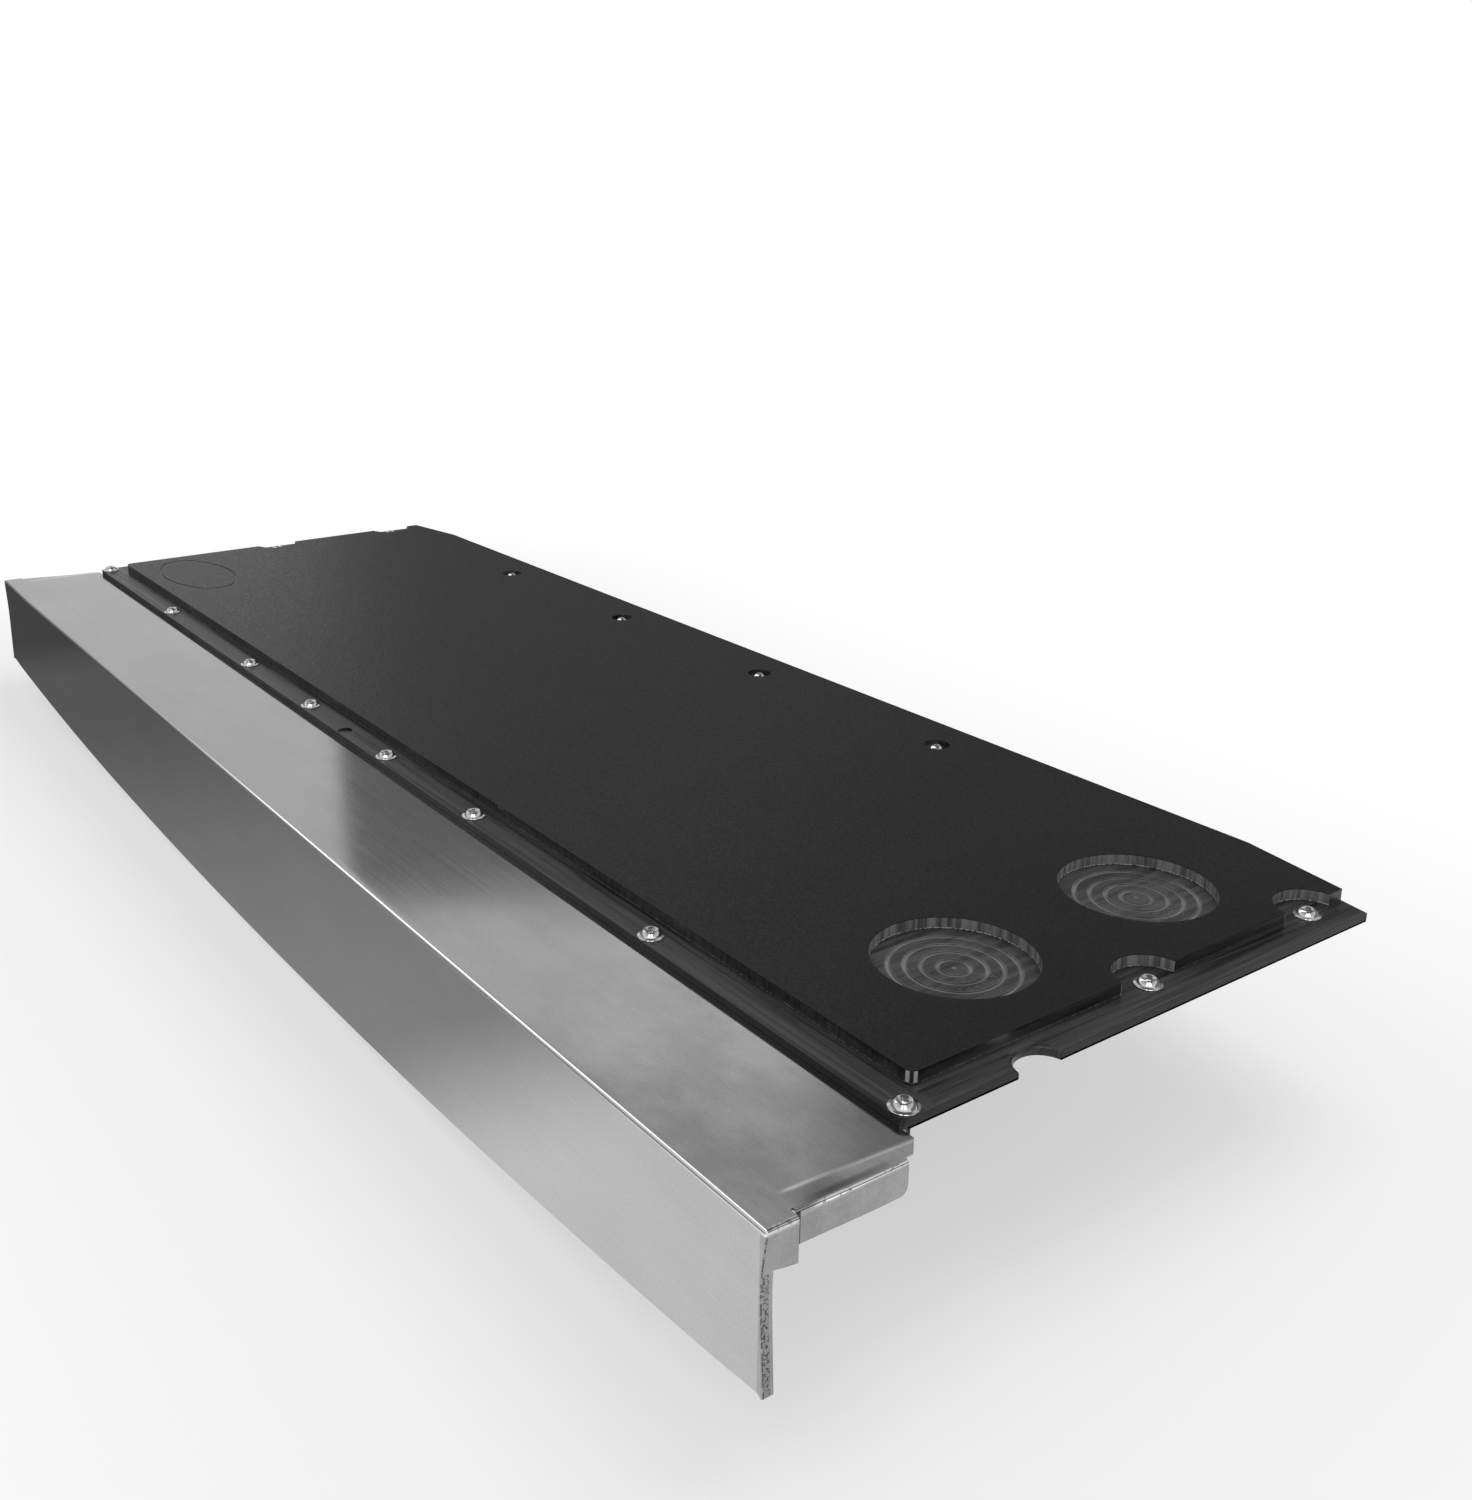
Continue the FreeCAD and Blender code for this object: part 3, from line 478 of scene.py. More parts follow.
# %% Small bends in the sheet
DIP_FRONT, DIP_BACK = (-296.8, 703.4), (-215.3, 708.4)
DIP_SLOPE = (DIP_BACK[1] - DIP_FRONT[1]) / (DIP_BACK[0] - DIP_FRONT[0])
DIP_DEPTH = 1.3
DIP_FADE = (-300.0, -245.0)
DIP_SOFTNESS = 0.07
LIFT_HEIGHT = 2.6
LIFT_LENGTH = 130.0
LEAN = ((1.2, 0.0), (-8.0, 1.4), (-20.0, 3.4), (-30.0, 4.2), (-42.0, 4.2), (-62.0, 2.6),
        (-93.0, 0.2))
LEAN_LENGTH = 75.0
LEAN_DEPTH = 20.0


def eased(number):
    """Smooth from 0 to 1, and flat outside."""
    number = min(max(number, 0.0), 1.0)
    return number * number * (3 - 2 * number)


def read_off(table, place):
    """The value at that place on a table of falling places, with straight lines between."""
    for (high, first), (low, second) in zip(table, table[1:]):
        if place >= low:
            share = min(max((high - place) / (high - low), 0.0), 1.0)
            return first + (second - first) * share
    return table[-1][1]


def top_height(x, y):
    """Height of the cap's upper surface."""
    bend = DIP_FRONT[1] + (y - DIP_FRONT[0]) * DIP_SLOPE
    share = max((abs(x) - bend) / (TAB_PLANE - bend), 0.0)
    across = share * share / (share + DIP_SOFTNESS) * (1 + DIP_SOFTNESS)
    along = eased((y - DIP_FADE[0]) / (DIP_FADE[1] - DIP_FADE[0]))
    pulled = eased((-x - CAP_END + LIFT_LENGTH) / LIFT_LENGTH)
    pulled *= eased((BOARD_FRONT - y) / (BOARD_FRONT - CAP_FRONT))
    return CAP_TOP - DIP_DEPTH * along * across + LIFT_HEIGHT * pulled


def leaned(x, y, z):
    """X of a point of the front face or its ends, drawn in towards the middle."""
    share = eased((abs(x) - CAP_END + LEAN_LENGTH) / LEAN_LENGTH)
    share *= eased(1 - (y - CAP_FRONT) / LEAN_DEPTH)
    return x - math.copysign(read_off(LEAN, z) * share, x)


def face_foot(x):
    """Height of the front face's foot: an arc through both ends and the middle."""
    sag = FACE_END_FOOT - FACE_MIDDLE_FOOT
    radius = (CAP_END ** 2 + sag ** 2) / (2 * sag)
    return FACE_MIDDLE_FOOT + radius - math.sqrt(radius ** 2 - x ** 2)


def rear_edge(x):
    """Y of the visible rear edge of the sheet, cut off at 45 degrees near the ends."""
    return BOARD_FRONT - min(max(abs(x) - CORNER_CUT_START, 0.0),
                             CORNER_CUT_END - CORNER_CUT_START)


print("foot at the end", round(face_foot(CAP_END), 1), "and in the middle", round(face_foot(0), 1))

# %% [markdown]
# The sheet is laid out as a grid: columns along the panel, and rows that run from the hidden
# rear strip over the top, down the front face and in along the lip. A cell is only filled where
# the real sheet has metal. Columns stand closer where the sheet bends, so the bends come out
# smooth, and the fold lines are marked for the Bevel modifier.

# %% The cap's sheet
MIDDLE_COLUMNS = [25.0 * number for number in range(28)]
END_COLUMNS = [686.0, COVER_END, 699.5, 701.5, 703.0, 704.3, 705.6, 706.8, CORNER_CUT_START,
               709.3, 710.7, 712.2, 713.8, CORNER_CUT_END, TAB_PLANE, CAP_END]
COLUMNS = MIDDLE_COLUMNS + END_COLUMNS
REAR_SHARES = (0.0, 0.35, 0.7)
TOP_ROWS = (TAB_END, -227.5, -228.6, -230.2, -232.0, -238.0, -246.0, -254.0, -262.0, -270.0,
            -278.0, -286.0, -292.0, TAB_START, CORNER_TAB_BACK, -307.0, -313.0, CAP_FRONT)
FACE_SHARES = (0.07, 0.15, CORNER_TAB_SHARE, 0.38, 0.52, 0.66, 0.80, 0.94, 1.0)
LIP_ROWS = (0.5, 1.0)
TAB_SHARES = (0.0, 0.3, 0.55, 0.8, 1.0)


class Sheet:
    """The keyed corners and the cells of the flat-faced cap."""

    def __init__(self):
        self.mesh = bmesh.new()
        self.corners = {}

    def corner(self, key, place):
        """The vertex of that key, made on first use."""
        if key not in self.corners:
            self.corners[key] = self.mesh.verts.new(place)
        return self.corners[key]

    def cell(self, around):
        """A face through the keyed vertices, left out if it is already there."""
        corners = [self.corners[key] for key in around]
        if self.mesh.faces.get(corners) is None:
            self.mesh.faces.new(corners)

    def tab_cell(self, tab, x, ys, shares):
        """A face of one tab between two places along it and two shares of its height."""
        (first, second), (upper, lower) = ys, shares
        self.cell([(tab, x, first, upper), (tab, x, first, lower),
                   (tab, x, second, lower), (tab, x, second, upper)])


def top_places(x):
    """The rows of the top in one column, from the rear edge to the front fold."""
    rear = rear_edge(x)
    places = []
    if abs(x) <= COVER_END:
        places += [("cover", CAP_BACK, CAP_TOP), ("hidden", HIDDEN_ROW, CAP_TOP)]
    for share in REAR_SHARES:
        y = rear + (TAB_END - rear) * share
        places.append((f"rear {share}", y, top_height(x, y)))
    places += [(f"top {y}", y, top_height(x, y)) for y in TOP_ROWS]
    return places


def face_places(x):
    """The rows of the front face and the lip in one column."""
    top, foot = top_height(x, CAP_FRONT), face_foot(x)
    places = [(f"face {share}", CAP_FRONT, top + (foot - top) * share) for share in FACE_SHARES]
    if abs(x) < CAP_END:
        places += [(f"lip {share}", CAP_FRONT + LIP * share, foot) for share in LIP_ROWS]
    return places


def fill_between(sheet, first_x, second_x, skipped):
    """Fill the cells between two neighbouring columns, except the skipped rows."""
    rows = [key[2] for key in sheet.corners if key[1] == first_x and key[0] == "sheet"]
    for upper, lower in zip(rows, rows[1:]):
        keys = [("sheet", first_x, upper), ("sheet", first_x, lower),
                ("sheet", second_x, lower), ("sheet", second_x, upper)]
        if lower in skipped or any(key not in sheet.corners for key in keys):
            continue
        sheet.cell(keys)


def missing_rows(outer_x):
    """Rows with no metal between a column at outer_x and its inner neighbour."""
    missing = set()
    if outer_x > CORNER_CUT_END:
        missing |= {f"rear {share}" for share in REAR_SHARES} | {f"top {TAB_END}"}
        missing.add(f"top {CORNER_TAB_BACK}")
    if outer_x > TAB_PLANE:
        missing |= {f"top {y}" for y in TOP_ROWS if y > CORNER_TAB_BACK}
    return missing


def lay_main_sheet(sheet):
    """Top, front face and lip."""
    xs = sorted({-x for x in COLUMNS} | set(COLUMNS))
    for x in xs:
        for row, y, z in top_places(x) + face_places(x):
            sheet.corner(("sheet", x, row), (x, y, z))
    for first, second in zip(xs, xs[1:]):
        fill_between(sheet, first, second, missing_rows(max(abs(first), abs(second))))


cap_sheet = Sheet()
lay_main_sheet(cap_sheet)
print("main sheet:", len(cap_sheet.mesh.faces), "cells")

# %% [markdown]
# At each end hang two tabs. The end tab comes down from the dipped strip, with one rounded lower
# corner. The corner tab closes the corner, and below it a narrow return follows the front face
# down to its foot.

# %% The tabs at the ends
def end_tab_foot(y):
    """Height of the end tab's lower edge, rounded at its rear corner."""
    foot = top_height(TAB_PLANE, y) - TAB_DEPTH
    inset = max(TAB_CORNER - (TAB_END - y), 0.0)
    return foot + TAB_CORNER - math.sqrt(TAB_CORNER ** 2 - inset ** 2)


def lay_end_tab(sheet, side):
    """The tab that hangs from the dipped strip."""
    ys = [y for y in TOP_ROWS if TAB_START <= y <= TAB_END]
    x = side * TAB_PLANE
    for y in ys:
        fold = sheet.corners["sheet", x, f"top {y}"]
        sheet.corners["end tab", x, y, 0.0] = fold
        for share in TAB_SHARES[1:]:
            z = fold.co.z + (end_tab_foot(y) - fold.co.z) * share
            sheet.corner(("end tab", x, y, share), (x, y, z))
    for beside in zip(ys, ys[1:]):
        for shares in zip(TAB_SHARES, TAB_SHARES[1:]):
            sheet.tab_cell("end tab", x, beside, shares)


def lay_corner(sheet, side):
    """The corner tab and the narrow return below it."""
    x = side * CAP_END
    ys = [y for y in TOP_ROWS if y <= CORNER_TAB_BACK]
    shares = (0.0,) + FACE_SHARES
    for share in shares:
        for y in ys:
            key = ("corner", x, y, share)
            if y == CAP_FRONT or share == 0.0:
                row = f"face {share}" if share else f"top {y}"
                sheet.corners[key] = sheet.corners["sheet", x, row]
                continue
            beside = sheet.corners["sheet", x, f"face {share}"].co
            sheet.corner(key, (x, y, beside.z))
    for first, second in zip(ys, ys[1:]):
        narrow = first <= CAP_FRONT + RETURN_WIDTH + TOLERANCE
        for upper, lower in zip(shares, shares[1:]):
            if narrow or lower <= CORNER_TAB_SHARE:
                sheet.tab_cell("corner", x, (first, second), (upper, lower))


for side in (-1, 1):
    lay_end_tab(cap_sheet, side)
    lay_corner(cap_sheet, side)
print("with tabs:", len(cap_sheet.mesh.faces), "cells")

# %% [markdown]
# Now the fold lines are marked, the ends lean in, and the modifiers give the sheet its round
# folds and its thickness. The screw holes in the hidden strip are cut last.

# %% Fold, thicken and drill the cap
FOLD_SEGMENTS = 6
FOLD_ANGLE = math.radians(40)
DEBURR = 0.18 * MM
HOLE_RADIUS, ROD_SIDES, ROD_LENGTH = 4.5, 32, 10.0
SEAM_FOLD, TAB_FOLD = 0.35, 0.7
UPRIGHT_FROM, LEVEL_FROM = 1.0, 0.9
front_screws = [f"front_screw_{number}" for number in range(1, 9)]


def fold_share(first, second):
    """How round a fold is, as a share of the long folds: seams and tabs are folded tighter."""
    if abs(first.z - second.z) > UPRIGHT_FROM:
        return SEAM_FOLD
    return TAB_FOLD if min(abs(first.x), abs(second.x)) > TAB_PLANE - TOLERANCE else 1.0


def close_sheet(sheet):
    """Faces outwards, folds marked, ends leaned in, in metres."""
    mesh = sheet.mesh
    loose = [corner for corner in mesh.verts if not corner.link_faces]
    bmesh.ops.delete(mesh, geom=loose, context="VERTS")
    bmesh.ops.recalc_face_normals(mesh, faces=mesh.faces)
    tops = [face.normal.z for face in mesh.faces
            if abs(face.normal.z) > LEVEL_FROM and face.calc_center_median().z > 0]
    if sum(tops) < 0:
        bmesh.ops.reverse_faces(mesh, faces=mesh.faces)
    weight = mesh.edges.layers.float.new("bevel_weight_edge")
    for edge in mesh.edges:
        if len(edge.link_faces) == 2 and edge.calc_face_angle() > FOLD_ANGLE:
            edge[weight] = fold_share(*(corner.co for corner in edge.verts))
    for corner in mesh.verts:
        on_face = corner.co.y < CAP_FRONT + TOLERANCE
        if on_face or abs(corner.co.x) > CAP_END - TOLERANCE:
            corner.co.x = leaned(*corner.co)
        corner.co *= MM


def screw_axis(name):
    """Where a CAD screw's upright axis stands."""
    low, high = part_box(name)
    return (low.x + high.x) / 2, (low.y + high.y) / 2


def drill_rods():
    """Upright rods where the screws pass the hidden strip."""
    rods = bmesh.new()
    for name in front_screws:
        bmesh.ops.create_cone(rods, cap_ends=True, segments=ROD_SIDES, radius1=HOLE_RADIUS * MM,
                              radius2=HOLE_RADIUS * MM, depth=ROD_LENGTH * MM,
                              matrix=Matrix.Translation((*screw_axis(name), 0)))
    return link_object("rods", mesh_from("rods", rods))


def build_cap():
    """The folded cap as a finished mesh."""
    close_sheet(cap_sheet)
    piece = link_object("cap", mesh_from("cap", cap_sheet.mesh))
    modify(piece, "folds", "BEVEL", limit_method="WEIGHT", width=OUTER_FOLD * MM,
           segments=FOLD_SEGMENTS)
    modify(piece, "wall", "SOLIDIFY", thickness=SHEET * MM, offset=-1, use_even_offset=True)
    rods = drill_rods()
    modify(piece, "drill", "BOOLEAN", operation="DIFFERENCE", object=rods)
    modify(piece, "deburr", "BEVEL", limit_method="ANGLE", angle_limit=FOLD_ANGLE, width=DEBURR,
           segments=2)
    piece = settle(piece, FOLD_ANGLE)
    bpy.data.objects.remove(rods)
    return piece


cap = build_cap()
hand_over(cap, ["edge_cap"])

# %% [markdown]
# The board is one routed sheet, and its CAD solid already has every pocket, groove and hole. Its
# corners are perfectly sharp, though, and a real cutter leaves a hair of roundness that catches
# light. A copy of the solid's mesh is merged, its flat triangles are joined into whole faces, and
# a very small Bevel runs along every edge, also along the foot of the step.

# %% The board
FLAT_ANGLE = math.radians(0.5)
EDGE_ANGLE = math.radians(35)
EDGE_ROUNDING = 0.3 * MM


def build_board():
    """A copy of the board's CAD mesh with finely rounded edges."""
    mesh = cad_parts["board"].data.copy()
    shape = bmesh.new()
    shape.from_mesh(mesh)
    bmesh.ops.remove_doubles(shape, verts=shape.verts, dist=WELD)
    bmesh.ops.dissolve_limit(shape, angle_limit=FLAT_ANGLE, verts=shape.verts, edges=shape.edges)
    shape.to_mesh(mesh)
    shape.free()
    mesh.materials.clear()
    piece = link_object("table_board", mesh)
    modify(piece, "rounding", "BEVEL", limit_method="ANGLE", angle_limit=EDGE_ANGLE,
           width=EDGE_ROUNDING, segments=3)
    return settle(piece, EDGE_ANGLE)


board = build_board()
hand_over(board, ["board"])

# %% [markdown]
# A flanged screw is turned round its own axis, so its outline is drawn once and swept round: a
# thin flange, a dome, a flat top, and a countersunk hexagon socket. The socket's rings follow a
# hexagon in place of a circle. Below the head come a plain neck and a thread of real pitch.

# %% Turned screws
SEGMENTS = 48
HEXAGON_SIDES = 6
THREAD_DEPTH = 0.6
SCREW_CRISP_ANGLE = math.radians(32)


def hexagon_radius(across_flats, angle):
    """How far a hexagon's outline is from its middle in that direction."""
    side = math.tau / HEXAGON_SIDES
    return across_flats / 2 / math.cos((angle % side) - side / 2)


def dome_outline(foot, rim, steps=9):
    """Outline points of a round dome from its foot to its flat top."""
    (foot_radius, foot_height), (rim_radius, rim_height) = foot, rim
    middle = ((rim_height ** 2 + rim_radius ** 2 - foot_height ** 2 - foot_radius ** 2)
              / (2 * (rim_height - foot_height)))
    radius = math.hypot(foot_radius, foot_height - middle)
    first = math.atan2(foot_height - middle, foot_radius)
    last = math.atan2(rim_height - middle, rim_radius)
    angles = [first + (last - first) * step / steps for step in range(steps + 1)]
    return [(radius * math.cos(angle), middle + radius * math.sin(angle)) for angle in angles]


def thread_outline(neck_end, length, crest, pitch, tip):
    """Outline points of a thread: it rises and falls once a pitch, and ends in a chamfer."""
    root_radius = crest - THREAD_DEPTH * pitch
    points = [(root_radius, neck_end)]
    height = neck_end - pitch / 2
    while height > tip - length:
        points += [(crest, height), (root_radius, height - pitch / 2)]
        height -= pitch
    return points + [(crest - tip, -length)]


def turned_screw(name, head, socket, shank):
    """A mesh of one screw, its seat at height zero. head is the outline from the seat to the
    flat top, socket is (mouth radius, mouth drop, across flats, depth)."""
    mouth, drop, across_flats, depth = socket
    top = head[-1][1]
    angles = [math.tau * step / SEGMENTS for step in range(SEGMENTS)]
    radii = [hexagon_radius(across_flats, angle) for angle in angles]
    rings = [[(radius, height)] * SEGMENTS for radius, height in shank + head + [(mouth, top)]]
    rings.append([(radius, top - drop * (1 - radius / mouth)) for radius in radii])
    rings.append([(radius, top - depth) for radius in radii])
    shape = bmesh.new()
    rows = []
    for ring in rings:
        rows.append([shape.verts.new((radius * math.cos(angle) * MM, radius * math.sin(angle) * MM,
                                      height * MM))
                     for angle, (radius, height) in zip(angles, ring)])
    for lower, upper in zip(rows, rows[1:]):
        for step in range(SEGMENTS):
            after = (step + 1) % SEGMENTS
            shape.faces.new((lower[step], lower[after], upper[after], upper[step]))
    shape.faces.new(list(reversed(rows[0])))
    floor_middle = shape.verts.new((0, 0, (top - depth - across_flats / 8) * MM))
    for step in range(SEGMENTS):
        shape.faces.new((rows[-1][step], rows[-1][(step + 1) % SEGMENTS], floor_middle))
    bmesh.ops.recalc_face_normals(shape, faces=shape.faces)
    mesh = mesh_from(name, shape)
    mesh.shade_smooth()
    mesh.set_sharp_from_angle(angle=SCREW_CRISP_ANGLE)
    return link_object(name, mesh)


FLANGED_HEAD = [(3.6, 0.0), (8.7, 0.0), (8.9, 0.2), (8.9, 0.65), (8.72, 0.9)]
FLANGED_HEAD += dome_outline((7.0, 1.375), (4.85, 4.22)) + [(4.6, 4.4)]
FLANGED_SOCKET = (4.4, 2.0, 5.0, 2.6)
FLANGED_LENGTH = 20.0
FLANGED_SHANK = thread_outline(-7.2, FLANGED_LENGTH, 4.0, 1.25, 0.9)[::-1] + [(3.6, -6.8)]
BUTTON_HEAD = [(2.7, 0.0), (5.65, 0.0), (5.75, 0.1)]
BUTTON_HEAD += dome_outline((5.75, 0.5), (3.1, 3.28)) + [(2.9, 3.4)]
BUTTON_SOCKET = (2.7, 1.3, 4.0, 2.0)
BUTTON_LENGTH = 20.0
BUTTON_SHANK = thread_outline(-11.1, BUTTON_LENGTH, 3.0, 1.0, 0.9)[::-1] + [(2.7, -10.8)]

flanged_master = turned_screw("flanged_master", FLANGED_HEAD, FLANGED_SOCKET, FLANGED_SHANK)
button_master = turned_screw("button_master", BUTTON_HEAD, BUTTON_SOCKET, BUTTON_SHANK)
print("screw faces:", len(flanged_master.data.polygons), len(button_master.data.polygons))

# %% [markdown]
# Twelve flanged screws and four button screws repeat the same two shapes, so Geometry Nodes set
# them out: one point for each screw, the turned screw on every point, and a random turn so that
# no two sockets stand alike. The points come from the CAD screws' own boxes. The tree ends in
# real geometry and one material, and its result is read back as a plain mesh.

# %% Set out the screws
def screw_tree():
    """A node tree that puts one object on every point, each turned a little differently."""
    tree = bpy.data.node_groups.new("screws_on_points", "GeometryNodeTree")
    for name, kind in (("Points", "Geometry"), ("Screw", "Object"), ("Largest Turn", "Float"),
                       ("Seed", "Int"), ("Finish", "Material")):
        tree.interface.new_socket(name, in_out="INPUT", socket_type=f"NodeSocket{kind}")
    tree.interface.new_socket("Screws", in_out="OUTPUT", socket_type="NodeSocketGeometry")
    wiring = Wiring(tree)
    given = wiring.node("NodeGroupInput")
    screw = wiring.node("GeometryNodeObjectInfo", {"Object": given["Screw"]},
                        transform_space="ORIGINAL")
    chance = wiring.node("FunctionNodeRandomValue", {"Seed": given["Seed"]}, data_type="FLOAT")
    turn = next(number for number in chance if number.enabled)
    largest = next(number for number in turn.node.inputs if number.name == "Max" and number.enabled)
    wiring.feed(largest, given["Largest Turn"])
    upright = wiring.node("ShaderNodeCombineXYZ", {"Z": turn})
    rotation = wiring.node("FunctionNodeEulerToRotation", {"Euler": upright[0]})
    spread = wiring.node("GeometryNodeInstanceOnPoints", {
        "Points": given["Points"], "Instance": screw["Geometry"], "Rotation": rotation[0]})
    real = wiring.node("GeometryNodeRealizeInstances", {0: spread[0]})
    finish = wiring.node("GeometryNodeSetMaterial", {"Geometry": real[0], "Material": given["Finish"]})
    wiring.node("NodeGroupOutput", {0: finish[0]})
    return tree


def set_out(name, nodes, master, head_height, seed, finish):
    """One mesh of screws that stand where the CAD nodes' screws stand."""
    points = [(*screw_axis(node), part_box(node)[1].z - head_height * MM) for node in nodes]
    mesh = bpy.data.meshes.new(name)
    mesh.from_pydata(points, [], [])
    holder = link_object(name, mesh)
    modifier = modify(holder, "screws", "NODES", node_group=SCREW_TREE)
    values = {"Screw": master, "Largest Turn": math.tau / HEXAGON_SIDES, "Seed": seed,
              "Finish": finish}
    for item in SCREW_TREE.interface.items_tree:
        if item.name in values:
            modifier[item.identifier] = values[item.name]
    made = read_back(holder)
    bpy.data.objects.remove(holder)
    bpy.data.objects.remove(master)
    made.name = name
    print(name, "has", len(made.polygons), "faces")
    return link_object(name, made)


SCREW_TREE = screw_tree()
print("screw tree has", len(SCREW_TREE.nodes), "nodes")

# %% [markdown]
# The screws are bright stainless steel. They were turned, so the finest marks run round the axis
# and the polish is high but not perfect: a low roughness that varies a little from place to place
# keeps the small reflections lively.

# %% Screw steel
SCREW_GREY = 0.72
SCREW_ROUGHNESS = (0.05, 0.13)
SCREW_MARKS = 900.0


def screw_steel():
    """Bright stainless steel with faint marks."""
    material, wiring, inputs = new_finish("screw_steel")
    place = wiring.object_place()
    marks = wiring.noise(place, SCREW_MARKS, 3.0)
    inputs["Metallic"].default_value = 1.0
    wiring.feed(inputs["Base Color"], wiring.ramp(marks, 0.3, 0.7, SCREW_GREY - 0.06, SCREW_GREY))
    wiring.feed(inputs["Roughness"], wiring.ramp(marks, 0.3, 0.7, *SCREW_ROUGHNESS))
    wiring.feed(inputs["Normal"], wiring.bump(marks, 0.01 * MM, 0.4))
    return material


end_screws = [f"end_screw_{number}" for number in range(1, 5)]
table_screws = [f"table_screw_{number}" for number in range(1, 5)]
steel = screw_steel()
FLANGED_SEED, BUTTON_SEED = 4, 9
flanged = set_out("flanged_screws", front_screws + end_screws, flanged_master,
                  FLANGED_HEAD[-1][1], FLANGED_SEED, steel)
hand_over(flanged, front_screws + end_screws)
buttons = set_out("button_screws", table_screws, button_master,
                  BUTTON_HEAD[-1][1], BUTTON_SEED, steel)
hand_over(buttons, table_screws)

# %% [markdown]
# The cap is satin steel, brushed along its length. Brushing does three things: fine streaks in
# colour and roughness, highlights that smear across the brush marks (the shader's anisotropy,
# with its tangent along X), and tiny bumps. Handling adds cloudy patches, most of all near the
# camera's end. The near part of the long front fold is paler, partly from polish by the press and
# partly as a painted highlight, and a painted highlight runs along the soft crease beside each end
# tab. The tab faces are painted darker as painted shade, their folds carry a painted highlight with
# nicks in it, and painted shade lies in the slit between the tabs and beside the end tab's fold. The
# upright seams at both ends were welded and dressed by hand, which left a rough dark line and
# specks. Places are in millimetres here.

# %% Cap steel
CAP_GREY, CAP_ROUGHNESS, ANISOTROPY = 0.45, 0.09, 0.35
BRUSH_DIRECTION = {"X": 1.0, "Y": 0.06, "Z": 0.03}
FOLD_POLISH_AND_HIGHLIGHT_GREY, CREASE_HIGHLIGHT_GREY, SHADE_GREY, TAB_HIGHLIGHT_GREY, SEAM_GREY = 0.74, 0.85, 0.06, 0.95, 0.10
# The tab faces keep this share of the grey: they are painted darker, a painted shade.
TAB_PAINTED_SHADE = 0.80
BRUSH_STRETCH = (8.0, 1100.0, 1100.0)
CLOUD_STRETCH = (7.0, 14.0, 14.0)
STAIN_STRETCH = (16.0, 22.0, 22.0)
NICK_SCALE, GRAIN_SCALE, SPECK_SCALE = 300.0, 800.0, 700.0
STAINS_X, FOLD_X = (380.0, 640.0), (-250.0, 150.0)
TOP_Z, TOP_EDGE_Z = (-3.0, -2.0), (-3.0, -1.5)
TAB_FACES_X = (718.9, 719.2)
SEAM_X = (CAP_END - 7.0, CAP_END - 5.5)
SEAM_TOP_Z, SPECKS_FOOT_Z = (-4.0, -1.5), (-27.0, -24.0)
SEAM_Y, SPECKS_Y = (CAP_FRONT + 0.5, CAP_FRONT + 1.5), (CAP_FRONT + 1.5, CAP_FRONT + 5.0)
CREASE_WIDTH, CREASE_SOFT, CREASE_Y = (-0.6, 1.6), 1.2, (-300.0, -288.0)
TAB_FOLD_X, TAB_FOLD_Z, TAB_FOLD_Y = (718.0, 718.5), (-1.8, -1.1), (-292.0, -278.0)
CORNER_FOLD_X = (720.5, 721.5)
SLIT_Y, SLIT_X = (-299.0, -296.2), (719.0, 719.3)
SHADE_X, SHADE_Y, SHADE_Z = (713.5, 717.5), (-284.0, -240.0), (-2.5, -2.0)


def seam_marks(wiring, place, outward, y, z):
    """The upright seams at both ends: a rough dark line, and specks on the narrow return."""
    grains = wiring.noise(place, SPECK_SCALE, 2.0)
    line = wiring.product(wiring.between(y, *SEAM_Y, 0.4), wiring.ramp(grains, 0.40, 0.52))
    specks = wiring.product(wiring.between(y, *SPECKS_Y, 0.5), wiring.falls(z, *SPECKS_FOOT_Z),
                            wiring.ramp(grains, 0.48, 0.60, 0.15, 1.0))
    return wiring.product(wiring.ramp(outward, *SEAM_X), wiring.falls(z, *SEAM_TOP_Z),
                          wiring.largest(line, specks))


# Painted highlight: a pale line painted along the soft bend beside each end tab.
def crease_highlight(wiring, outward, y, z):
    """One on the soft bend of the top beside each end tab."""
    bend = wiring.math("MULTIPLY_ADD", y, DIP_SLOPE, DIP_FRONT[1] - DIP_FRONT[0] * DIP_SLOPE)
    ridge = wiring.between(wiring.math("SUBTRACT", outward, bend), *CREASE_WIDTH, CREASE_SOFT)
    return wiring.product(ridge, wiring.ramp(y, *CREASE_Y), wiring.ramp(z, *TOP_Z))


def tab_fold_highlight(wiring, place, outward, y, z):
    """One on the folds of the end tabs: a painted highlight, left out where the folds are nicked."""
    unnicked = wiring.ramp(wiring.noise(place, NICK_SCALE, 2.0), 0.38, 0.46)
    where = wiring.largest(wiring.ramp(y, *TAB_FOLD_Y),
                           wiring.ramp(outward, *CORNER_FOLD_X, 0.0, 0.5))
    return wiring.product(wiring.ramp(outward, *TAB_FOLD_X), wiring.ramp(z, *TAB_FOLD_Z), unnicked,
                          where)


def tab_shade(wiring, outward, y, z):
    """One in the slit between the tabs, and half along the top beside the end tab's fold."""
    slit = wiring.product(wiring.between(y, *SLIT_Y, 0.3), wiring.ramp(outward, *SLIT_X))
    beside = wiring.product(wiring.between(outward, *SHADE_X, 1.5),
                            wiring.between(y, *SHADE_Y, 12.0),
                            wiring.ramp(z, *SHADE_Z, 0.0, 0.5))
    return wiring.largest(slit, beside)


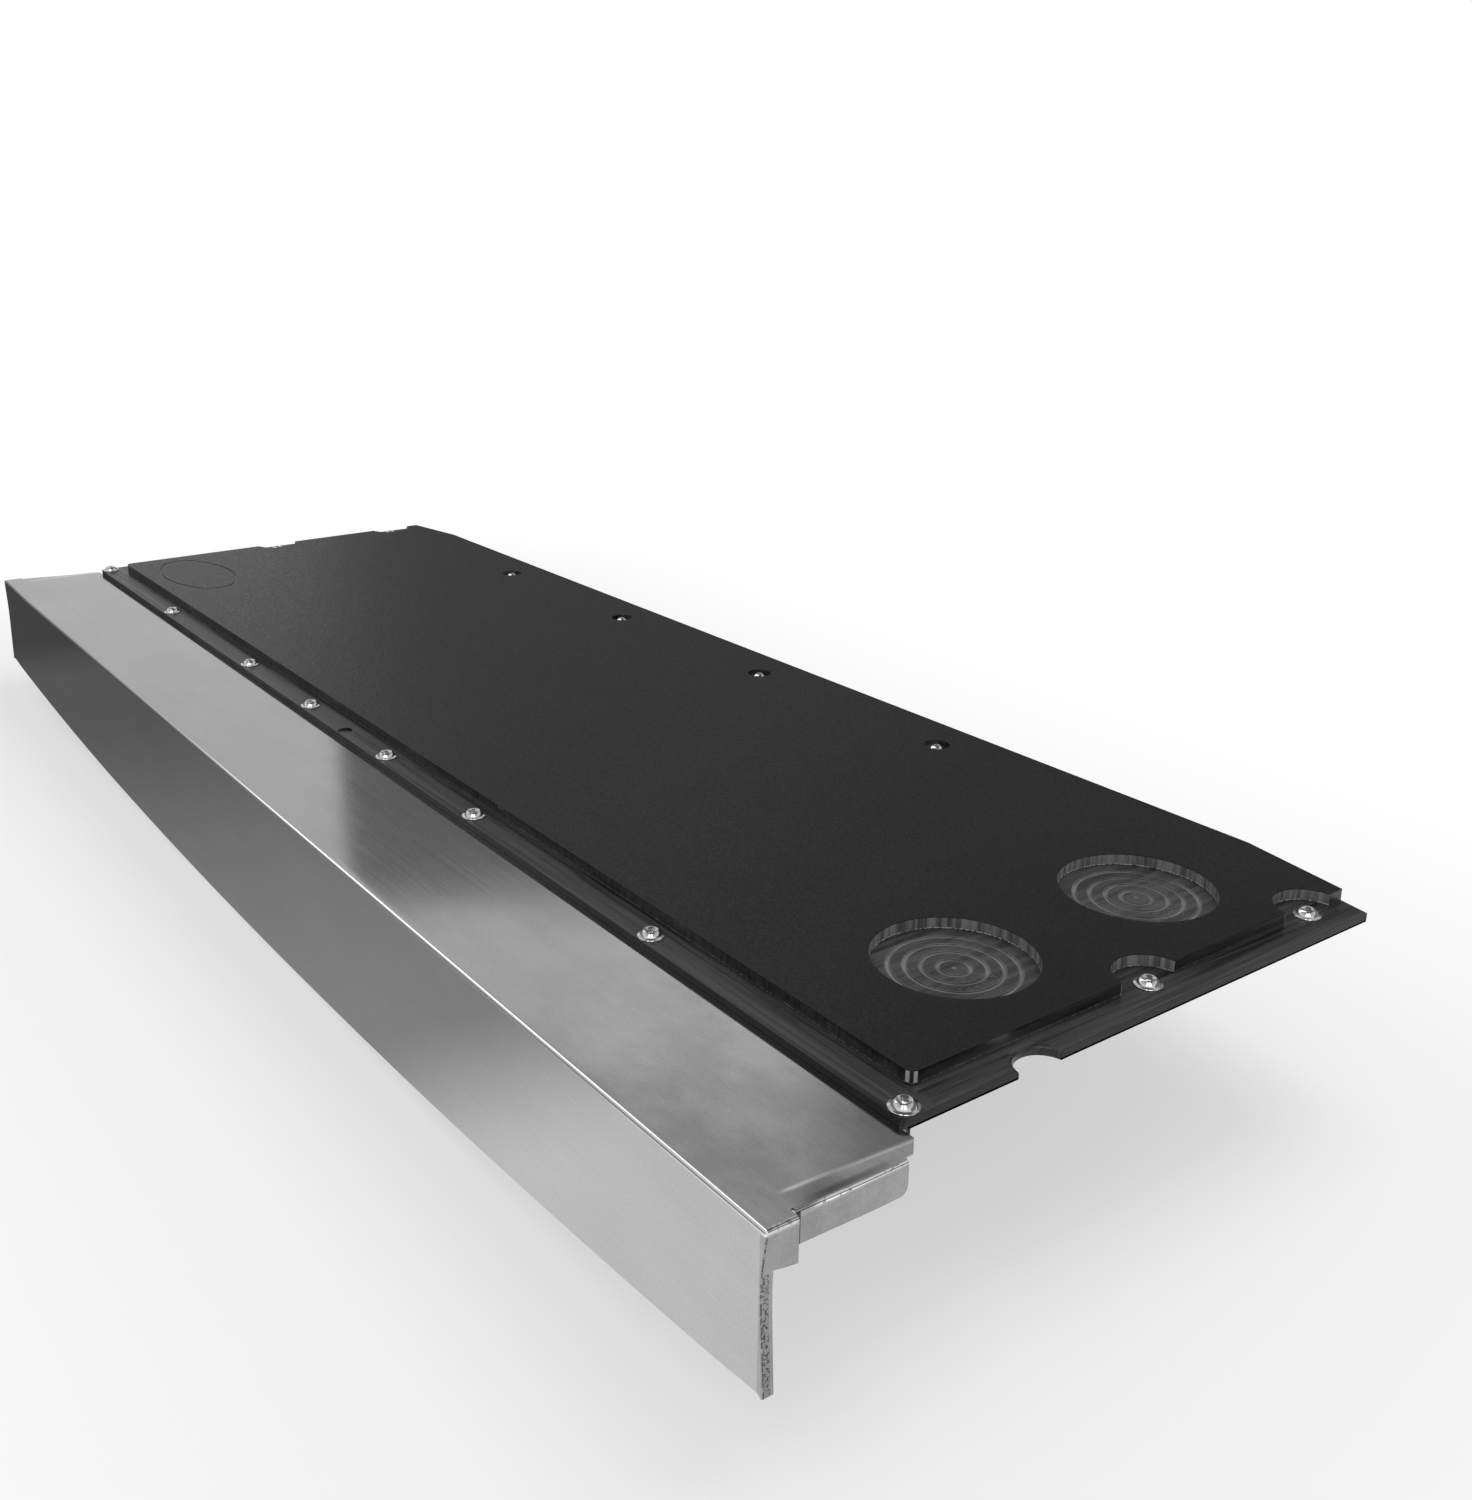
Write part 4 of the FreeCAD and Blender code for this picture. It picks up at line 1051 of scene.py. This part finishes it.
# Painted highlight, partly real polish: the near part of the front fold is painted paler.
def fold_polish_and_highlight(wiring, x, y, z):
    """One on the near part of the front fold, fading out on the top and on the front face."""
    on_top = wiring.falls(y, CAP_FRONT + 0.8, CAP_FRONT + OUTER_FOLD)
    on_face = wiring.ramp(z, -0.8 * OUTER_FOLD, -0.5)
    return wiring.product(on_top, on_face, wiring.ramp(x, *FOLD_X))


def cap_steel():
    """Satin steel brushed along X, with clouds, polished folds, duller tabs and dressed seams."""
    material, wiring, inputs = new_finish("cap_steel")
    place = wiring.object_place()
    x, y, z = wiring.millimetres(place)
    outward = wiring.math("ABSOLUTE", x)
    streaks = wiring.noise(wiring.scaled(place, BRUSH_STRETCH), 1.0, 3.0, 0.6)
    clouds = wiring.noise(wiring.scaled(place, CLOUD_STRETCH), 1.0, 4.0, 0.6)
    stains = wiring.noise(wiring.scaled(place, STAIN_STRETCH), 1.0, 5.0, 0.65)
    grains = wiring.noise(place, GRAIN_SCALE, 2.0)
    seam = seam_marks(wiring, place, outward, y, z)
    on_tabs = wiring.product(wiring.ramp(outward, *TAB_FACES_X), wiring.falls(z, *TOP_Z))
    stained = wiring.product(wiring.ramp(x, *STAINS_X),
                             wiring.largest(on_tabs, wiring.ramp(z, *TOP_EDGE_Z)))
    darker = wiring.ramp(stains, 0.35, 0.65, 0.84, 1.06)
    grey = wiring.product(wiring.ramp(streaks, 0.25, 0.75, 0.97 * CAP_GREY, 1.03 * CAP_GREY),
                          wiring.ramp(clouds, 0.3, 0.7, 0.96, 1.03),
                          wiring.ramp(grains, 0.3, 0.7, 0.95, 1.05),
                          wiring.mix(on_tabs, 1.0, TAB_PAINTED_SHADE), wiring.mix(stained, 1.0, darker))
    # Painted onto the grey: highlights on the fold, crease and tab folds (the fold partly polish),
    # painted shade at the tabs, and the seams' own dark line.
    for share, light in ((fold_polish_and_highlight(wiring, x, y, z), FOLD_POLISH_AND_HIGHLIGHT_GREY),
                         (crease_highlight(wiring, outward, y, z), CREASE_HIGHLIGHT_GREY),
                         (tab_shade(wiring, outward, y, z), SHADE_GREY),
                         (tab_fold_highlight(wiring, place, outward, y, z), TAB_HIGHLIGHT_GREY),
                         (seam, SEAM_GREY)):
        grey = wiring.mix(share, grey, light)
    rough = wiring.ramp(clouds, 0.3, 0.7, CAP_ROUGHNESS + 0.02, CAP_ROUGHNESS - 0.02)
    rough = wiring.math("ADD", rough, wiring.ramp(streaks, 0.25, 0.75, -0.01, 0.02))
    rough = wiring.math("ADD", rough, wiring.product(stained, 0.03))
    inputs["Metallic"].default_value = 1.0
    inputs["Anisotropic"].default_value = ANISOTROPY
    wiring.feed(inputs["Base Color"], grey)
    wiring.feed(inputs["Roughness"], wiring.mix(seam, rough, 0.5))
    wiring.feed(inputs["Tangent"], wiring.node("ShaderNodeCombineXYZ", BRUSH_DIRECTION)[0])
    brushed = wiring.bump(streaks, 0.006 * MM, 0.3)
    wiring.feed(inputs["Normal"], wiring.bump(seam, -0.08 * MM, 1.0, brushed))
    return material


cap.data.materials.append(cap_steel())
print("cap finish:", cap.data.materials[0].name)

# %% [markdown]
# The board is black sheet plastic. Its raised top still has the sheet's own skin, a fine pebble
# grain that looks matt. Wherever the cutter went the skin is gone: ledge, pockets and cup floors
# are smoother and show streaks that follow the cutter. One material holds all of it, because on
# the real board it is one piece: height tells skin from cut, and place tells how the cutter ran.
# Places are in millimetres and directions in degrees here.

# %% Board plastic, what was cut
FIELD_TOP, LEDGE_TOP = board_high.z, 6.0
FRONT_LEDGE_BACK = BOARD_FRONT + 25.0
CUPS, CUP_RADIUS = ((600.0, -77.02), (600.0, 90.99)), 51.5
POCKETS = tuple((side * 682.5, y) for side in (-1, 1) for y in (2.98, 161.0))
POCKET_RADIUS = 24.0
RING_PITCH, RING_HALF, LAST_RING = 10.0, 1.5, 44.0
LINK_RINGS, LINK_ANGLES = (9.0, 34.0), (-42, 38)
FIELD_CORNER, GLEAM_RADII = (673.5, -182.0), (4.8, 6.8)
GLEAM_ANGLES = ((-80.2, -58.4), (-34.4, -12.6))
CUP_SHARE = 0.10
WALL_STRETCH, FRAY_SCALE = (240.0, 240.0, 6.0), 560.0
FRONT_STRETCH, END_STRETCH = (7.0, 260.0, 90.0), (260.0, 7.0, 90.0)


def from_middle(wiring, x, y, middle):
    """Distance and direction of a point as seen from some middle."""
    across = wiring.math("SUBTRACT", x, middle[0])
    along = wiring.math("SUBTRACT", y, middle[1])
    return wiring.length(across, along), wiring.math("DEGREES", wiring.math("ARCTAN2", along, across))


def ring_marks(wiring, place, x, y):
    """How light the cup floors are: pale rings, and scratches that link them on one side."""
    patches = wiring.noise(place, 60.0, 2.0)
    scratch = wiring.noise(place, 520.0, 2.0)
    marks = 0.0
    for middle in CUPS:
        distance, angle = from_middle(wiring, x, y, middle)
        off_ring = wiring.math("PINGPONG", distance, RING_PITCH / 2)
        ring = wiring.product(wiring.falls(off_ring, 0.5 * RING_HALF, 1.5 * RING_HALF),
                              wiring.falls(distance, LAST_RING, 1.03 * LAST_RING),
                              wiring.ramp(patches, 0.3, 0.7, 0.55, 1.0))
        link = wiring.product(wiring.between(distance, *LINK_RINGS, 1.5),
                              wiring.between(angle, *LINK_ANGLES, 8.6),
                              wiring.ramp(scratch, 0.42, 0.66, 0.0, 0.35))
        plain = wiring.ramp(distance, CUP_RADIUS - 0.5, CUP_RADIUS, CUP_SHARE, 0.0)
        marks = wiring.largest(marks, ring, link, plain)
    return marks


def round_walls(wiring, x, y):
    """One on the round walls of cups and pockets."""
    walls = 0.0
    for middles, radius in ((CUPS, CUP_RADIUS), (POCKETS, POCKET_RADIUS)):
        for middle in middles:
            distance = from_middle(wiring, x, y, middle)[0]
            walls = wiring.largest(walls, wiring.between(distance, radius - 0.6, radius + 0.6, 0.2))
    return walls


def corner_gleam(wiring, x, y):
    """Two upright gleams on the raised field's near front corner."""
    distance, angle = from_middle(wiring, x, y, FIELD_CORNER)
    gleams = [wiring.between(angle, *angles, 5.7) for angles in GLEAM_ANGLES]
    return wiring.product(wiring.largest(*gleams), wiring.between(distance, *GLEAM_RADII, 0.3))


def wall_marks(wiring, place, x, y, z):
    """Upright machining streaks on the round walls, painted pale as highlights; frayed plastic along
    the foot of every wall, whose glint is painted as a pale line; and gleams on one corner."""
    on_wall = wiring.between(z, LEDGE_TOP + 0.9, FIELD_TOP - 0.1, 0.2)
    # A pale speckled line at the foot of every wall: frayed plastic, with its glint painted on as
    # colour.
    foot = wiring.between(z, LEDGE_TOP + 0.3, LEDGE_TOP + 0.9, 0.1)
    streaks = wiring.noise(wiring.scaled(place, WALL_STRETCH), 1.0, 3.0)
    frayed = wiring.ramp(wiring.noise(place, FRAY_SCALE, 3.0), 0.42, 0.60, 0.15, 1.0)
    walls = round_walls(wiring, x, y)
    # The round walls' machining streaks are painted pale: painted highlights.
    return (wiring.product(walls, on_wall, wiring.ramp(streaks, 0.35, 0.65, 0.25, 1.0)),
            wiring.product(foot, frayed, wiring.mix(walls, 0.2, 1.0)),
            wiring.product(corner_gleam(wiring, x, y), on_wall))


def cutter_streaks(wiring, place, y):
    """Streaks along the ledge: along X at the front, along Y at the ends."""
    front = wiring.noise(wiring.scaled(place, FRONT_STRETCH), 1.0, 3.0, 0.6)
    ends = wiring.noise(wiring.scaled(place, END_STRETCH), 1.0, 3.0, 0.6)
    return wiring.mix(wiring.falls(y, FRONT_LEDGE_BACK - 1.0, FRONT_LEDGE_BACK + 1.0), ends, front)


print("cups at", CUPS)

# %% Board plastic, skin and cut together
BLACK, CUT_GREY, EDGE_GREY = 0.006, 0.020, 0.012
RING_GREY, WALL_STREAK_HIGHLIGHT_GREY, GLEAM_GREY, FOOT_GLINT_GREY = 0.19, 0.28, 0.50, 0.75
SKIN_ROUGHNESS, CUT_ROUGHNESS = 0.34, 0.34
SKIN_SPECULAR, CUT_SPECULAR, EDGE_SPECULAR = 0.26, 0.36, 0.22
SKIN_Z, CUP_FLOOR_Z, CONTACT_SHADOW_Z = (FIELD_TOP - 0.45, FIELD_TOP - 0.25), (6.6, 7.0), (1.0, 1.8)
PEBBLE_SCALE, WEAR_STRETCH = 620.0, (7.0, 10.0, 10.0)


def outer_edge(wiring, x, y):
    """One on the board's outer edge, which is darker and less glossy than the other cut faces."""
    past_end = wiring.ramp(wiring.math("ABSOLUTE", x), board_high.x - 0.25, board_high.x - 0.15)
    return wiring.largest(past_end, wiring.falls(y, BOARD_FRONT + 0.15, BOARD_FRONT + 0.25))


def board_plastic():
    """Black plastic: pebbled skin on top, streaked and a little glossier where it was cut."""
    material, wiring, inputs = new_finish("board_plastic")
    place = wiring.object_place()
    x, y, z = wiring.millimetres(place)
    skin = wiring.ramp(z, *SKIN_Z)
    pebbles = wiring.noise(place, PEBBLE_SCALE, 3.0, 0.6)
    wear = wiring.noise(wiring.scaled(place, WEAR_STRETCH), 1.0, 4.0, 0.6)
    streaks = cutter_streaks(wiring, place, y)
    skin_grey = wiring.product(wiring.ramp(pebbles, 0.35, 0.70, 0.72 * BLACK, 1.55 * BLACK),
                               wiring.ramp(wear, 0.3, 0.7, 0.92, 1.10))
    cut_grey = wiring.ramp(streaks, 0.3, 0.7, 0.3 * CUT_GREY, 2.6 * CUT_GREY)
    marks = wiring.product(ring_marks(wiring, place, x, y), wiring.falls(z, *CUP_FLOOR_Z))
    walls, foot, gleam = wall_marks(wiring, place, x, y, z)
    outer = outer_edge(wiring, x, y)
    # Painted contact shadow: the lowest strip of the outer edge is painted black and given no shine.
    painted_contact_shadow = wiring.product(outer, wiring.falls(z, *CONTACT_SHADOW_Z))
    for share, light in ((marks, RING_GREY), (walls, WALL_STREAK_HIGHLIGHT_GREY), (gleam, GLEAM_GREY),
                         (foot, FOOT_GLINT_GREY), (outer, EDGE_GREY), (painted_contact_shadow, 0.0)):
        cut_grey = wiring.mix(share, cut_grey, light)
    wiring.feed(inputs["Base Color"], wiring.mix(skin, cut_grey, skin_grey))
    cut_rough = wiring.ramp(streaks, 0.3, 0.7, CUT_ROUGHNESS - 0.10, CUT_ROUGHNESS + 0.12)
    skin_rough = wiring.ramp(pebbles, 0.35, 0.70, SKIN_ROUGHNESS + 0.08, SKIN_ROUGHNESS - 0.08)
    wiring.feed(inputs["Roughness"], wiring.mix(skin, cut_rough, skin_rough))
    shine = wiring.mix(outer, wiring.mix(skin, CUT_SPECULAR, SKIN_SPECULAR), EDGE_SPECULAR)
    wiring.feed(inputs["Specular IOR Level"], wiring.mix(painted_contact_shadow, shine, 0.0))
    trail = wiring.product(streaks, wiring.math("SUBTRACT", 1.0, skin))
    pebbled = wiring.bump(wiring.product(pebbles, skin), 0.35 * MM, 0.6)
    wiring.feed(inputs["Normal"], wiring.bump(trail, 0.05 * MM, 0.6, pebbled))
    return material


board.data.materials.append(board_plastic())
print("board finish:", board.data.materials[0].name)
